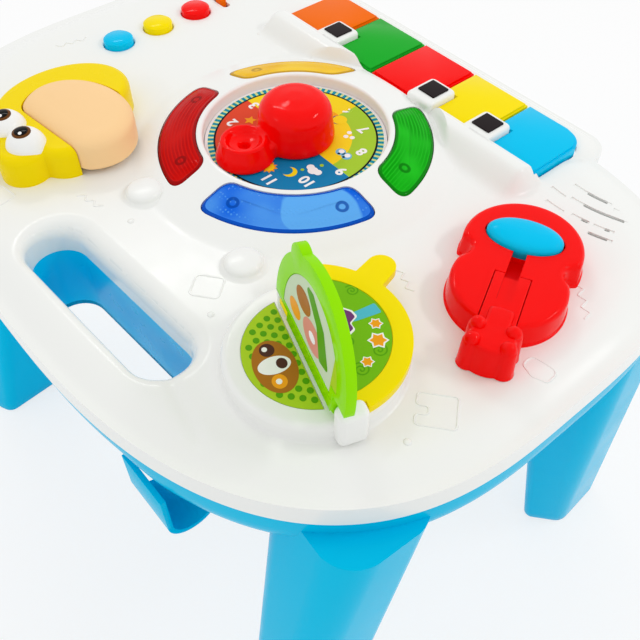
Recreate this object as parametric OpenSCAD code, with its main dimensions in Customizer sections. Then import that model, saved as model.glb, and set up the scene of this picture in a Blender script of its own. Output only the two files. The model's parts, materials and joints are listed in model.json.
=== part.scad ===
// Musical activity table for a small child: a white top with toys on it, a blue lower
// shell, four splayed legs, and the works between the two shells.
// The child sits at -Y and the carrying handle is at +Y. The floor is at z = 0.

/* [Table] */
// Overall width of the top, left to right
table_w = 382; // [372:2:400]
// From the middle to the back edge
back_depth = 144; // [138:1:156]
// From the middle to the front edge, beside the keyboard
front_depth = 134; // [130:1:139]
// Height of the flat top above the floor
top_height = 260; // [235:5:300]
// How far the white top comes down at its rim
rim_drop = 16; // [15:0.5:18]
// How far the rounded edge of the top reaches in
rim_round = 20; // [16:1:23]
// Depth of the lower shell below the seam
tub_depth = 38; // [36:1:44]
// Wall thickness of the moulded shells
wall = 2.5; // [2:0.1:2.8]
// Running clearance round every moving button and key
gap = 0.5; // [0.4:0.05:0.7]
// Clearance between fixed pieces that slip together
fit = 0.25; // [0.2:0.05:0.35]

/* [Handle] */
// Length of the straight part of the hand hole
handle_straight = 79; // [60:1:84]
// Radius of the ends of the hand hole
handle_r = 13.5; // [12:0.5:15]
// Middle of the hand hole, left or right of the middle
handle_x = -27; // [-32:1:-20]
// Middle of the hand hole behind the middle of the table
handle_y = 107; // [105:1:109]
// Turn of the hand hole
handle_turn = 3; // [0:1:5]
// How far the soft lip of the hand hole spreads
handle_lip = 6; // [4:0.5:7]

/* [Clock] */
// Middle of the clock in front of the middle of the table
clock_y = -21; // [-24:1:-18]
// Radius of the foot of the raised clock ring
clock_foot_r = 83; // [80:1:85]
// Turn of the light windows
clock_turn = 2; // [-2:1:4]
// Height of the clock ring above the top
clock_rise = 10; // [8:0.5:12]
// Inner radius of the light windows
lens_in_r = 50.5; // [50:0.5:52]
// Outer radius of the light windows
lens_out_r = 68.5; // [66:0.5:70]
// Width of the white bridge between two light windows
lens_bridge = 17; // [14:0.5:24]
// Width of the white bridge behind the keys
front_bridge = 44; // [40:0.5:50]
// Thickness of the light windows
lens_t = 2; // [1.6:0.1:2.4]
// Radius of the printed dial
dial_r = 46; // [45:0.25:46.5]
// Thickness of the printed dial
dial_t = 1; // [0.8:0.1:1.4]
// Radius of the pointer's hub
hub_r = 19.5; // [17:0.5:20]
// Height of the pointer's hub
hub_h = 24; // [20:1:28]
// Reach of the pointer's thumb ring from the axle
crank_reach = 29.25; // [28:0.25:30.5]
// Outer radius of the thumb ring
crank_r = 15; // [13:0.25:15]
// Height of the crank arm
crank_h = 12; // [9:0.5:14]
// Radius of the axle under the pointer
axle_r = 3; // [2.5:0.1:3.6]

/* [Keyboard] */
// Distance from one key to the next
key_pitch = 38.5; // [37:0.1:39]
// Gap between neighbouring keys
key_gap = 1.2; // [0.9:0.1:1.5]
// Front end of the keys
key_front = 132; // [130:0.5:134]
// Back end of the keys
key_back = 90; // [88:0.5:92]
// Height of the keys above the top
key_rise = 4.5; // [4:0.1:6]
// How far a key goes down
key_travel = 3; // [2:0.1:3]
// Wall thickness of the key caps
key_wall = 2; // [1.6:0.1:2.4]
// Front edge of the shelf that carries the keys
shelf_front = 147; // [145:1:149]
// Height of the ridge behind the keys
ridge_h = 10; // [8:0.5:12]
// Depth of the ridge, front to back
ridge_d = 24; // [20:1:26]
// Width of the white blocks that carry the black inserts
sharp_block = 18; // [16:0.5:19]
// Depth of the white blocks in front of the ridge
sharp_depth = 18; // [16:0.5:20]
// Side of the black inserts
sharp_w = 11.5; // [10:0.5:12.5]

/* [Guitar] */
// Middle of the oval button, left of the middle
guitar_x = -128; // [-131:1:-126]
// Middle of the oval button, in front of the middle
guitar_y = -44; // [-46:1:-42]
// Direction of the neck
guitar_turn = 117.3; // [115:0.5:120]
// Height of the guitar body
guitar_h = 12; // [10:0.5:14]
// Radius of the two round ends of the body
bout_r = 27.5; // [26.5:0.5:28.5]
// Distance between the two round ends
bout_gap = 22; // [20:0.5:24]
// Long half of the oval button
oval_a = 16.8; // [15:0.2:18]
// Short half of the oval button
oval_b = 9.6; // [8.6:0.2:10.5]
// How far the oval button goes down
oval_travel = 2.5; // [2:0.1:2.5]
// Width of the sliding neck
neck_w = 15.6; // [14:0.2:17]
// Width of the peg head
head_w = 21; // [19:0.5:23]
// Length of the peg head
head_l = 20; // [18:0.5:22]
// Height of the peg head
head_h = 15; // [14:0.5:17]
// Travel of the neck
neck_travel = 8; // [6:0.5:9]

/* [Book] */
// Middle of the book's hinge, left of the middle
book_x = -116.8; // [-119:0.1:-115]
// Middle of the book's hinge, behind the middle
book_y = 64.6; // [63:0.1:67]
// Turn of the hinge line
book_turn = -18.7; // [-22:0.1:-15]
// Radius of the round plinth under the book
plinth_r = 37; // [35:0.5:38]
// Height of the plinth
plinth_h = 8; // [7:0.5:10]
// Radius of the pages
page_r = 38.7; // [37:0.1:40]
// Thickness of the pages
page_t = 4; // [3:0.2:4.2]
// Radius of the hinge rod
rod_r = 1.5; // [1.2:0.1:1.8]
// Wall round the hinge rod
knuckle_wall = 2; // [1.6:0.1:2.2]
// How far the standing page is turned up from lying back
stand_angle = 97; // [90:1:104]

/* [Animal drum] */
// Middle of the muzzle, right of the middle
drum_x = 72; // [71:1:74]
// Middle of the muzzle, behind the middle
drum_y = 60; // [59:0.5:61]
// Long half of the muzzle
drum_a = 32; // [29:0.5:33]
// Short half of the muzzle
drum_b = 25; // [23:0.5:26]
// Height of the muzzle above the top
drum_h = 21; // [18:0.5:24]
// How far the muzzle goes down
drum_travel = 2.5; // [2:0.1:2.5]
// Height of the yellow face above the top
face_h = 16; // [14:0.5:17]
// Radius of the eye balls
eye_r = 10.5; // [9.5:0.5:11]

/* [Mode buttons] */
// Radius of the round mode buttons
mode_r = 8.5; // [7:0.5:10]
// Distance between the mode buttons
mode_pitch = 27; // [25:0.5:29]
// Middle of the row, right of the middle
mode_x = 140; // [138:1:143]
// Middle of the row, in front of the middle
mode_y = -28; // [-31:1:-25]
// How far a mode button goes down
mode_travel = 2; // [1.5:0.1:2]
// Travel of the power switch each way
switch_travel = 4; // [3:0.5:5]

/* [Legs] */
// Height of the leg's plug inside its socket
plug_h = 14; // [10:1:16]
// Side of the leg's square plug
plug_w = 22; // [18:1:24]
// Radius of the leg screws' shanks
leg_screw_r = 1.6; // [1.4:0.1:1.9]

/* [Works] */
// Thickness of the inner tray
tray_t = 2; // [1.6:0.1:2.6]
// Height of the inner tray above the seam
tray_rise = 2; // [1:0.2:2.6]
// Radius of a battery cell
cell_r = 7.1; // [6.9:0.05:7.2]
// Length of a battery cell
cell_l = 50; // [49:0.5:50.5]
// Radius of the loudspeaker
speaker_r = 16; // [14:0.5:17]
// Height of the loudspeaker
speaker_h = 7; // [5.5:0.5:8]
// Radius of the case screws' shanks
screw_r = 1.5; // [1.3:0.1:1.8]

/* [Hidden] */

$fn = 64;
eps = 0.01;

// Levels
top_z = top_height;
seam_z = top_z - rim_drop;
under_z = top_z - wall;
tray_top = seam_z + tray_rise;
tray_z = tray_top - tray_t;
tub_z = seam_z - tub_depth;
floor_z = tub_z + wall;
half_w = table_w / 2;

// Colours
white = [0.95, 0.95, 0.94];
sky = [0, 0.62, 0.85];
red = [0.9, 0.05, 0.04];
yellow = [1, 0.84, 0];
lime = [0.55, 0.85, 0.05];

// Plan shape: a rounded rectangle whose corners are softer at the back
back_power = 2.7;
front_power = 4;
rim_points = 72;
function soft(v, power) = sign(v) * pow(abs(v), 2 / power);
function rim_point(t, d) =
    let (back = sin(t) > 0, n = back ? back_power : front_power)
    [(half_w - d) * soft(cos(t), n),
     ((back ? back_depth : front_depth) - d) * soft(sin(t), n)];
function ellipse(a, b, count) =
    [for (i = [0 : count - 1]) [a * cos(360 * i / count), b * sin(360 * i / count)]];

function rim_ring(d, z) =
    [for (i = [0 : rim_points - 1]) concat(rim_point(360 * i / rim_points, d), [z])];
function rect_ring(w, d, r, y, z) =
    [for (q = [0 : 3], j = [0 : 5])
        let (a = 90 * q + 18 * j, sx = (q == 0 || q == 3) ? 1 : -1, sy = q < 2 ? 1 : -1)
        [sx * (w / 2 - r) + r * cos(a), y + sy * (d / 2 - r) + r * sin(a), z]];

module outline(d) {
    polygon([for (i = [0 : rim_points - 1]) rim_point(360 * i / rim_points, d)]);
}

// A closed skin through rings of points, listed from the lowest ring up
module loft(rings) {
    n = len(rings[0]);
    last = (len(rings) - 1) * n;
    polyhedron([for (r = rings) for (p = r) p], concat(
        [[for (i = [0 : n - 1]) i], [for (i = [n - 1 : -1 : 0]) last + i]],
        [for (k = [0 : len(rings) - 2], i = [0 : n - 1])
            [k * n + i, k * n + n + i, k * n + (i + 1) % n]],
        [for (k = [0 : len(rings) - 2], i = [0 : n - 1])
            [k * n + (i + 1) % n, k * n + n + i, k * n + n + (i + 1) % n]]));
}

// A slot with round ends, lying along x
module stadium(straight, r) {
    union() {
        for (side = [-1, 1]) translate([side * straight / 2, 0]) circle(r);
        square([straight, 2 * r], center = true);
    }
}

module rounded_rect(w, d, r) {
    union() {
        square([w - 2 * r, d], center = true);
        square([w, d - 2 * r], center = true);
        for (x = [-1, 1], y = [-1, 1])
            translate([x * (w / 2 - r), y * (d / 2 - r)]) circle(r);
    }
}

module ring(outer, inner, h) {
    difference() {
        cylinder(r = outer, h = h);
        translate([0, 0, -eps]) cylinder(r = inner, h = h + 2 * eps);
    }
}

// ---- Places that several pieces share ----
module at_clock() translate([0, clock_y, 0]) children();
module at_handle() translate([handle_x, handle_y, 0]) rotate(handle_turn) children();
module at_guitar() translate([guitar_x, guitar_y, 0]) rotate(guitar_turn) children();
module at_book() translate([book_x, book_y, 0]) rotate(book_turn) children();
module at_drum() translate([drum_x, drum_y, 0]) children();
module at_mode(i) translate([mode_x, mode_y + i * mode_pitch, 0]) children();

// ---- White top ----
rim_steps = 7;
shelf_round = 10;
shelf_w = 5 * key_pitch + 14;
shelf_back = 60;
shelf_corner = 14;
function swell(i) = 90 * i / rim_steps;

module pillow(d, h) {
    loft([for (i = [0 : rim_steps])
        rim_ring(d + rim_round * (1 - cos(swell(i))), seam_z + h * sin(swell(i)))]);
}

module shelf(d, h) {
    loft([for (i = [0 : rim_steps])
        let (e = 2 * (d + shelf_round * (1 - cos(swell(i)))))
        rect_ring(shelf_w - e, shelf_front - shelf_back - e, shelf_corner,
                  -(shelf_front + shelf_back) / 2, seam_z + h * sin(swell(i)))]);
}

// Clock ring: a low cone whose slope holds the light windows
dial_z = top_z + 4;
crest_z = top_z + clock_rise;
crest_r = dial_r + 2;
slope_z = top_z + 3;
lens_lap = 1.8;
module clock_ring() {
    at_clock() rotate_extrude()
        polygon([[dial_r - 2, under_z], [dial_r - 2, crest_z - 1], [dial_r + fit + 0.6, crest_z - 1],
                 [crest_r, crest_z],
                 [seat_r, slope_z], [clock_foot_r - 5, top_z + 0.8],
                 [clock_foot_r, top_z], [clock_foot_r, under_z]]);
}
seat_r = lens_out_r + lens_lap + 1;
function slope(r) = crest_z + (slope_z - crest_z) * (r - crest_r) / (seat_r - crest_r);
dial_floor = dial_z - dial_t - 2;
module clock_hollow() {
    at_clock() rotate_extrude()
        polygon([[0, seam_z], [0, dial_floor], [dial_r, dial_floor],
                 [crest_r - 0.5, slope(crest_r) - wall], [seat_r, slope_z - wall], [seat_r, seam_z]]);
}
// A quarter ring whose two ends are cut back, each parallel to the bridge beside it
module sector(r_in, r_out, cuts) {
    difference() {
        intersection() {
            circle(r_out, $fn = 128);
            translate([(cuts[0] + cuts[1]) / sqrt(2), (cuts[0] - cuts[1]) / sqrt(2)])
                polygon([[0, 0], [2 * r_out, -2 * r_out], [2 * r_out, 2 * r_out]]);
        }
        circle(r_in, $fn = 128);
    }
}
// Half the bridge at each end of window k, less what the flange laps over it
function lens_ends(k, lap) =
    [(k == 3 ? front_bridge : lens_bridge) / 2 - lap, (k == 2 ? front_bridge : lens_bridge) / 2 - lap];

// Key field
field_w = 5 * key_pitch;
field_corner = 13;
module key_field(d) {
    translate([0, -(key_front + key_back) / 2])
        rounded_rect(field_w - 2 * d, key_front - key_back - 2 * d, field_corner);
    translate([0, -key_back - field_corner])
        square([field_w - 2 * d, 2 * field_corner - 2 * d], center = true);
}
sharp_gaps = [-1.5, -0.5, 1.5];
sharp_y = -key_back - sharp_depth / 2;
module sharp_blocks(grow) {
    for (k = sharp_gaps) translate([k * key_pitch, -key_back - sharp_depth / 2])
        square([sharp_block + 2 * grow, sharp_depth + 2 * grow], center = true);
}

module ridge() {
    front = -key_back;
    difference() {
        rotate([90, 0, 90]) translate([0, 0, -field_w / 2 - 5]) linear_extrude(field_w + 10)
            polygon([[front, top_z - wall], [front, top_z + ridge_h - 2], [front + 2, top_z + ridge_h],
                     [front + 9, top_z + ridge_h - 0.6], [front + ridge_d, top_z],
                     [front + ridge_d, top_z - wall]]);
        at_clock() translate([0, 0, under_z - 1]) cylinder(r = seat_r - 1, h = ridge_h + wall + 2);
    }
}

// Book plinth and hinge
plinth_shift = [6, -2.8];
page_low = top_z + plinth_h + 1.5;
hinge_z = page_low + page_t + 0.7;
knuckle_r = rod_r + knuckle_wall;
post_x = -32;
post_w = 8;
post_y = -2.5;
post_d = 12;
post_rise = 4;
lug_x = 30.5;
lug_w = 4;
rod_end = post_x - post_w / 2 + 2;
module plinth() {
    at_book() {
        translate([plinth_shift[0], plinth_shift[1], under_z]) rotate_extrude()
            polygon([[0, 0], [plinth_r + 1, 0], [plinth_r + 1, wall], [plinth_r, wall + plinth_h - 2],
                     [plinth_r - 2, wall + plinth_h], [0, wall + plinth_h]]);
        translate([post_x, post_y, (under_z + hinge_z + post_rise) / 2])
            cube([post_w, post_d, hinge_z + post_rise - under_z], center = true);
        translate([lug_x, 0, (under_z + hinge_z + knuckle_r) / 2])
            cube([lug_w, 2 * knuckle_r, hinge_z + knuckle_r - under_z], center = true);
    }
}
module rod_bore() {
    at_book() translate([rod_end - fit, 0, hinge_z]) rotate([0, 90, 0])
        cylinder(r = rod_r + fit / 4, h = lug_x + lug_w / 2 + 1 - rod_end);
}
label_cut = 0.6;
module half_disc(r, y_edge, side) {
    intersection() {
        translate(plinth_shift) circle(r);
        translate([0, side * (r + y_edge)]) square([3 * r, 2 * r], center = true);
    }
}
module plinth_pocket(d) {
    intersection() {
        translate(plinth_shift) circle(plinth_r - 8 - d);
        translate([0, knuckle_r + 0.4 + d + plinth_r]) square(2 * plinth_r, center = true);
    }
}

// Screw bosses between the two shells: outside the toys' places
boss_r = 4;
boss_sites = [[-98, -76], [-105, 8], [-62, 72], [30, 82], [50, 112], [100, 12], [102, -66]];
module at_bosses() for (p = boss_sites) translate([p[0], p[1], 0]) children();

speaker_x = -135;
speaker_y = -88;
speaker_z = under_z - 3 - speaker_h;
slot_w = 1.4;
// Sound slots on circles round one middle: radius, x from, x to
slot_mid = [-116, -162];
sound_slots = [[58, -129.5, -119], [66.5, -142.5, -123], [76, -131.8, -128.6], [76, -142, -139.8],
               [82.3, -144.8, -136.2]];
module speaker_slots() {
    for (p = sound_slots) translate([0, 0, under_z - 1]) linear_extrude(wall + 2) intersection() {
        translate(slot_mid) difference() {
            circle(p[0] + slot_w / 2, $fn = 96);
            circle(p[0] - slot_w / 2, $fn = 96);
        }
        translate([(p[1] + p[2]) / 2, slot_mid[1] + 75]) square([p[2] - p[1], 40], center = true);
    }
}

// Two round-topped stubs beside the clock
dome_sites = [[-52, 50.5], [16.5, 58.5]];
stub_r = 8.5;
module small_domes() {
    for (p = dome_sites) translate([p[0], p[1], under_z]) rotate_extrude()
        polygon([[0, 0], [stub_r + 1.5, 0], [stub_r + 1.5, wall], [stub_r, wall + 1.6],
                 [stub_r - 0.8, wall + 3], [stub_r - 2.8, wall + 4], [0, wall + 4.6]]);
}

plunger_r = 4;
rail_w = 5;
rail_in = 28;
rail_out = 46;
slot_in = 16;
drum_hole_a = 20;
drum_hole_b = 14;
switch_y = mode_y - 1.7 * mode_pitch;

module top_shell() {
    color(white) difference() {
        union() {
            difference() {
                union() {
                    pillow(0, rim_drop);
                    shelf(0, rim_drop);
                    clock_ring();
                    ridge();
                    plinth();
                    small_domes();
                    translate([0, 1, under_z]) linear_extrude(wall + 8) sharp_blocks(0);
                }
                top_hollow();
                clock_hollow();
            }
            at_bosses() translate([0, 0, tray_top]) ring(boss_r, screw_r, under_z - tray_top + eps);
            translate([speaker_x, speaker_y, speaker_z]) difference() {
                ring(speaker_r + fit + wall, speaker_r + fit, under_z - speaker_z + eps);
            }
        }
        at_handle() handle_hole();
        at_clock() {
            translate([0, 0, dial_z - dial_t]) cylinder(r = dial_r + fit, h = 30);
            translate([0, 0, under_z - 1]) cylinder(r = axle_boss_r + fit, h = 20);
        }
        lens_cuts();
        translate([0, 0, under_z - 8]) linear_extrude(30) difference() {
            key_field(-gap);
            translate([0, 1]) sharp_blocks(0);
        }
        sharp_pockets();
        rod_bore();
        at_book() translate([0, 0, top_z + plinth_h - label_cut]) linear_extrude(2) plinth_pocket(0);
        guitar_holes();
        toy_screw_holes();
        at_drum() translate([0, 0, under_z - 1]) linear_extrude(wall + 2)
            polygon(ellipse(drum_hole_a, drum_hole_b, 48));
        for (i = [-1 : 1]) at_mode(i) translate([0, 0, under_z - 1])
            cylinder(r = mode_r + gap, h = wall + 2);
        translate([mode_x, switch_y, under_z - 1]) linear_extrude(wall + 2)
            square([2 * switch_travel + 6 + 2 * gap, 5], center = true);
        speaker_slots();
    }
}
module top_hollow() {
    difference() {
        union() {
            translate([0, 0, -eps]) pillow(wall, rim_drop - wall + eps);
            translate([0, 0, -eps]) shelf(wall, rim_drop - wall + eps);
        }
        at_handle() translate([0, 0, seam_z - 1]) linear_extrude(rim_drop + 2)
            stadium(handle_straight, handle_r + wall);
        at_handle() handle_flare(wall, wall + 1);
    }
}
// The soft lip of the hand hole
module handle_flare(grow, drop) {
    hull() {
        for (side = [-1, 1]) translate([side * handle_straight / 2, 0, top_z - lip_depth - drop])
            cylinder(r1 = handle_r + grow, r2 = handle_r + handle_lip + grow,
                     h = lip_depth + drop + eps, $fn = 32);
    }
}
lip_depth = 7;
module handle_hole() {
    translate([0, 0, tub_z - 5]) linear_extrude(top_z - tub_z + 10)
        stadium(handle_straight, handle_r);
    handle_flare(0, 0);
}
module lens_cuts() {
    at_clock() for (k = [0 : 3]) rotate(lens_angle(k)) translate([0, 0, under_z - 2])
        linear_extrude(20) sector(lens_in_r, lens_out_r, lens_ends(k, 0));
}
module toy_screw_holes() {
    at_guitar() for (p = guitar_bosses) translate([p[0], p[1], under_z - 1])
        cylinder(r = screw_r + fit, h = wall + 2);
    at_drum() for (p = face_bosses) translate([p[0], p[1], under_z - 1])
        cylinder(r = screw_r + fit, h = wall + 2);
}
function lens_angle(k) = 45 + clock_turn + 90 * k;
module sharp_pockets() {
    for (k = sharp_gaps) translate([k * key_pitch, sharp_y, top_z + 8 - 1.2])
        linear_extrude(5) square(sharp_w + 2 * fit, center = true);
}
module guitar_holes() {
    at_guitar() {
        translate([0, 0, under_z - 1]) cylinder(r = plunger_r + gap, h = wall + 2);
        translate([(slot_in + rail_out + neck_travel + gap) / 2, channel_off, under_z - 1])
            linear_extrude(wall + 2)
            square([rail_out + neck_travel + gap - slot_in, rail_w + 2 * gap], center = true);
    }
}

// ---- Blue lower shell ----
// The straight band is deep round the corners and shallow behind the hand hole
band_deep = 9;
band_shallow = 2;
tub_round = 32;
tub_inset = 1;
function step(v) = v <= 0 ? 0 : v >= 1 ? 1 : v * v * (3 - 2 * v);
function band(p) =
    p[1] < 0 ? band_deep : band_shallow + (band_deep - band_shallow) * step((abs(p[0]) - 78) / 30);
function tub_ring(d, z_low, i) =
    [for (k = [0 : rim_points - 1])
        let (p = rim_point(360 * k / rim_points, tub_inset + d + tub_round * (1 - cos(swell(i)))),
             b = seam_z - band(rim_point(360 * k / rim_points, 0)))
        [p[0], p[1], b - (b - z_low) * sin(swell(i))]];
module tub(d, z_low) {
    loft(concat([for (i = [rim_steps : -1 : 0]) tub_ring(d, z_low, i)],
                [rim_ring(tub_inset + d, seam_z)]));
}
leg_sites = [[-1, -1], [1, -1], [-1, 1], [1, 1]];
plug_x = 140;
plug_y = 73;
door_x = 62;
door_y = -34;
case_w = cell_l + 12;
case_d = 6 * cell_r + 8;
door_t = 2.2;
tab_x = case_w / 2 + 7;
door_tab_r = 5.5;
tub_boss_r = screw_r + 2.2;
tub_screw_z = tub_z + 12;
socket_h = plug_h + 3;
module at_plugs() for (s = leg_sites) translate([s[0] * plug_x, s[1] * plug_y, tub_z]) children();
module tub_inside() {
    difference() {
        translate([0, 0, eps]) tub(wall, floor_z);
        at_handle() translate([0, 0, tub_z]) linear_extrude(tub_depth + 1)
            stadium(handle_straight, handle_r + wall);
        at_plugs() linear_extrude(socket_h) square(plug_w + 2 * fit + 2 * wall, center = true);
        at_bosses() translate([0, 0, tub_z]) cylinder(r = tub_boss_r, h = tray_z - tub_z);
    }
}
module door_plan(d) {
    square([case_w - 2 - 2 * d, case_d - 2 - 2 * d], center = true);
    translate([tab_x, 0]) circle(door_tab_r - d);
    translate([tab_x / 2, 0]) square([tab_x, 2 * (door_tab_r - d)], center = true);
}
module bottom_shell() {
    color(sky) difference() {
        tub(0, tub_z);
        tub_inside();
        at_handle() translate([0, 0, tub_z - 5]) linear_extrude(tub_depth + 10)
            stadium(handle_straight, handle_r);
        at_bosses() translate([0, 0, tub_z - 1]) {
            cylinder(r = screw_r + fit, h = tub_depth + 10);
            cylinder(r = tub_boss_r - 1, h = tub_screw_z - tub_z + 1);
        }
        at_plugs() translate([0, 0, -1]) {
            linear_extrude(1 + plug_h + fit) square(plug_w + 2 * fit, center = true);
            cylinder(r = leg_screw_r + fit, h = tub_depth - 4);
        }
        translate([door_x, door_y, tub_z - 1]) linear_extrude(wall + 2) door_plan(0);
    }
}

// ---- Legs ----
// Each leg is a hollow tapered shell, wide under the table and narrow at the floor.
// Circles are [across, along, radius] for the leg at +x, +y.
foot_circles = [[159, 96, 5], [166, 110, 11], [163, 138, 12], [158, 140, 8]];
head_circles = [[142, 71, 14], [171, 70, 14], [167, 87, 17], [144, 86, 16]];
leg_wall = 3;
leg_top = seam_z - 8;
leg_deck = tub_z - 5;
sole_t = 4;
module leg_disc(i, z, shrink) {
    up = z / leg_top;
    f = foot_circles[i] * (1 - up) + head_circles[i] * up;
    translate([f[0], f[1], z]) cylinder(r = f[2] - shrink, h = eps, $fn = 32);
}
module leg_body(shrink, z_low, z_high) {
    hull() {
        for (i = [0 : len(foot_circles) - 1]) {
            leg_disc(i, z_low, shrink);
            leg_disc(i, z_high - eps, shrink);
        }
    }
}
module on_side(side_x, side_y) {
    mirror([side_x < 0 ? 1 : 0, 0, 0]) mirror([0, side_y < 0 ? 1 : 0, 0]) children();
}
module leg(side_x, side_y) {
    color(sky) difference() {
        union() {
            difference() {
                on_side(side_x, side_y) difference() {
                    leg_body(0, 0, leg_top);
                    leg_body(leg_wall, sole_t, leg_deck);
                }
                tub(-0.3, tub_z - 0.3);
            }
            on_side(side_x, side_y) translate([plug_x, plug_y, leg_deck])
                linear_extrude(tub_z + plug_h - leg_deck) square(plug_w, center = true);
        }
        on_side(side_x, side_y) translate([plug_x, plug_y, tub_z + 2])
            cylinder(r = leg_screw_r, h = plug_h);
    }
}

// ---- Hook under the back edge ----
hook_r = 13;
hook_len = 30;
hook_x = -90;
hook_y = 122;
module under_hook() {
    color(sky) difference() {
        translate([hook_x - hook_len / 2, hook_y, tub_z - 8]) rotate([90, 0, 90])
            linear_extrude(hook_len) {
                intersection() {
                    difference() {
                        circle(hook_r);
                        circle(hook_r - wall);
                    }
                    translate([0, -hook_r]) square([4 * hook_r, 2 * hook_r], center = true);
                }
                translate([hook_r - wall, 0]) square([wall, 22]);
                translate([-hook_r, 0]) square([wall, 22]);
            }
        tub(-0.1, tub_z - 0.1);
    }
}

// ---- Inner tray ----
axle_bore = axle_r + 0.08;
axle_boss_r = axle_r + 4;
module inner_tray() {
    color([0.75, 0.76, 0.78]) difference() {
        union() {
            translate([0, 0, tray_z]) linear_extrude(tray_t) outline(rim_round * 0.4);
            at_clock() translate([0, 0, tray_z - 3])
                cylinder(r = axle_boss_r, h = dial_z - dial_t - 0.3 - tray_z + 3);
        }
        at_clock() translate([0, 0, tray_z - 8]) cylinder(r = axle_bore, h = 60);
        at_handle() translate([0, 0, tray_z - 1]) linear_extrude(tray_t + 2)
            stadium(handle_straight, handle_r + wall + 1);
        at_bosses() translate([0, 0, tray_z - 1]) cylinder(r = screw_r + fit, h = tray_t + 2);
        translate([speaker_x, speaker_y, tray_z - 1])
            cylinder(r = speaker_r + wall + 2, h = tray_t + 2);
        neck_slot();
    }
}
module neck_slot() {
    at_guitar() translate([(rail_in + rail_out + neck_travel) / 2, channel_off, tray_z - 1])
        linear_extrude(tray_t + 2)
        square([rail_out - rail_in + neck_travel + 8, rail_w + 8], center = true);
}

// ---- Clock ----
module dial_plate() {
    color([0.95, 0.75, 0.15]) at_clock() translate([0, 0, dial_z - dial_t])
        ring(dial_r, axle_r + 2, dial_t);
}
// A window fills its opening and has a flange under the shell
module lens(k, tint) {
    color(tint) at_clock() rotate(lens_angle(k)) union() {
        intersection() {
            rotate_extrude() polygon([[lens_in_r + fit, slope(lens_in_r) - wall - 1],
                                      [lens_out_r - fit, slope(lens_out_r) - wall - 1],
                                      [lens_out_r - fit, slope(lens_out_r) + lens_rise],
                                      [lens_in_r + fit, slope(lens_in_r) + lens_rise]]);
            translate([0, 0, under_z - 3]) linear_extrude(30)
                sector(lens_in_r - 1, lens_out_r + 1, lens_ends(k, -fit));
        }
        intersection() {
            rotate_extrude() polygon([[lens_in_r - lens_lap, slope(lens_in_r) - wall - lens_t],
                                      [lens_out_r + lens_lap, slope(lens_out_r) - wall - lens_t],
                                      [lens_out_r + lens_lap, slope(lens_out_r + lens_lap) - wall - 0.1],
                                      [lens_in_r - lens_lap, slope(lens_in_r - lens_lap) - wall - 0.1]]);
            translate([0, 0, under_z - 5]) linear_extrude(30)
                sector(lens_in_r - lens_lap - 1, lens_out_r + lens_lap + 1, lens_ends(k, lens_lap));
        }
    }
}
lens_rise = 0.4;
module lens_red() lens(0, [0.8, 0.02, 0.04, 0.6]);
module lens_blue() lens(1, [0, 0.35, 0.9, 0.6]);
module lens_green() lens(2, [0, 0.7, 0.1, 0.6]);
module lens_yellow() lens(3, [1, 0.85, 0.1, 0.6]);

pointer_z = dial_z + 0.6;
crank_angle = 83;
module clock_pointer() {
    color(red) at_clock() difference() {
        union() {
            translate([0, 0, pointer_z]) rotate_extrude()
                polygon([[0, 0], [hub_r, 0], [hub_r - 1.5, hub_h - 9], [hub_r - 2.5, hub_h - 5.5],
                         [hub_r - 4.5, hub_h - 3], [hub_r - 8, hub_h - 1], [hub_r - 12, hub_h],
                         [0, hub_h]]);
            rotate(crank_angle) {
                translate([crank_reach, 0, pointer_z]) rotate_extrude()
                    polygon([[5, 0], [crank_r, 0], [crank_r, crank_h - 4], [crank_r - 1.2, crank_h - 1.2],
                             [crank_r - 4, crank_h], [8, crank_h - 1], [5, crank_h - 5]]);
                translate([crank_reach, 0, pointer_z]) cylinder(r = 6, h = crank_h - 6);
                translate([hub_r - 6, -9, pointer_z]) cube([crank_reach - hub_r - 1, 18, crank_h - 2]);
            }
        }
        translate([0, 0, pointer_z - eps]) cylinder(r = axle_r + 0.02, h = 9 + fit);
    }
}
axle_low = tray_z - 7;
module pointer_axle() {
    color([0.7, 0.7, 0.72]) at_clock() difference() {
        translate([0, 0, axle_low]) cylinder(r = axle_r, h = pointer_z + 9 - axle_low);
        translate([0, 0, tray_z - 5]) ring(axle_r + 1, axle_r - 0.8, 1.2);
    }
}
module axle_clip() {
    color([0.55, 0.55, 0.58]) at_clock() translate([0, 0, tray_z - 4.7]) difference() {
        ring(axle_r + 3, axle_r - 0.6, 0.7);
        translate([0, -axle_r, -eps]) cube([2 * axle_r + 4, 2 * axle_r, 1]);
    }
}

// ---- Keys ----
mat_t = 1.2;
dome_h = 5;
key_top = top_z + key_rise;
key_skirt = tray_top + mat_t + key_travel + 0.6;
module key_plan(i, d) {
    intersection() {
        key_field(d);
        translate([(i - 3) * key_pitch, -(key_front + key_back) / 2])
            square([key_pitch - key_gap - 2 * d, 2 * key_front], center = true);
    }
}
module key(i, tint) {
    notch = gap;
    color(tint) difference() {
        union() {
            translate([0, 0, key_skirt]) linear_extrude(key_top - 1.2 - key_skirt) key_plan(i, 0);
            translate([0, 0, key_top - 1.2 - eps]) linear_extrude(1.2) key_plan(i, 1);
            translate([(i - 3) * key_pitch, -(key_front + key_back) / 2, key_lip_low])
                linear_extrude(key_lip_high - key_lip_low)
                    square([key_pitch * 0.4, key_front - key_back + 4], center = true);
        }
        difference() {
            translate([0, 0, key_skirt - eps]) linear_extrude(key_top - key_wall - key_skirt)
                key_plan(i, key_wall);
            translate([(i - 3) * key_pitch, -(key_front + key_back) / 2, key_skirt - 1])
                cylinder(r = 4, h = 30);
            translate([0, 0, key_skirt - 1]) linear_extrude(40) sharp_blocks(gap + key_wall);
        }
        translate([0, 0, key_skirt - 1]) linear_extrude(40) sharp_blocks(notch);
    }
}
key_lip_high = under_z - 0.4;
key_lip_low = key_lip_high - 1.6;
module key_1() key(1, [0, 0.72, 0.9]);
module key_2() key(2, yellow);
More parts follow.
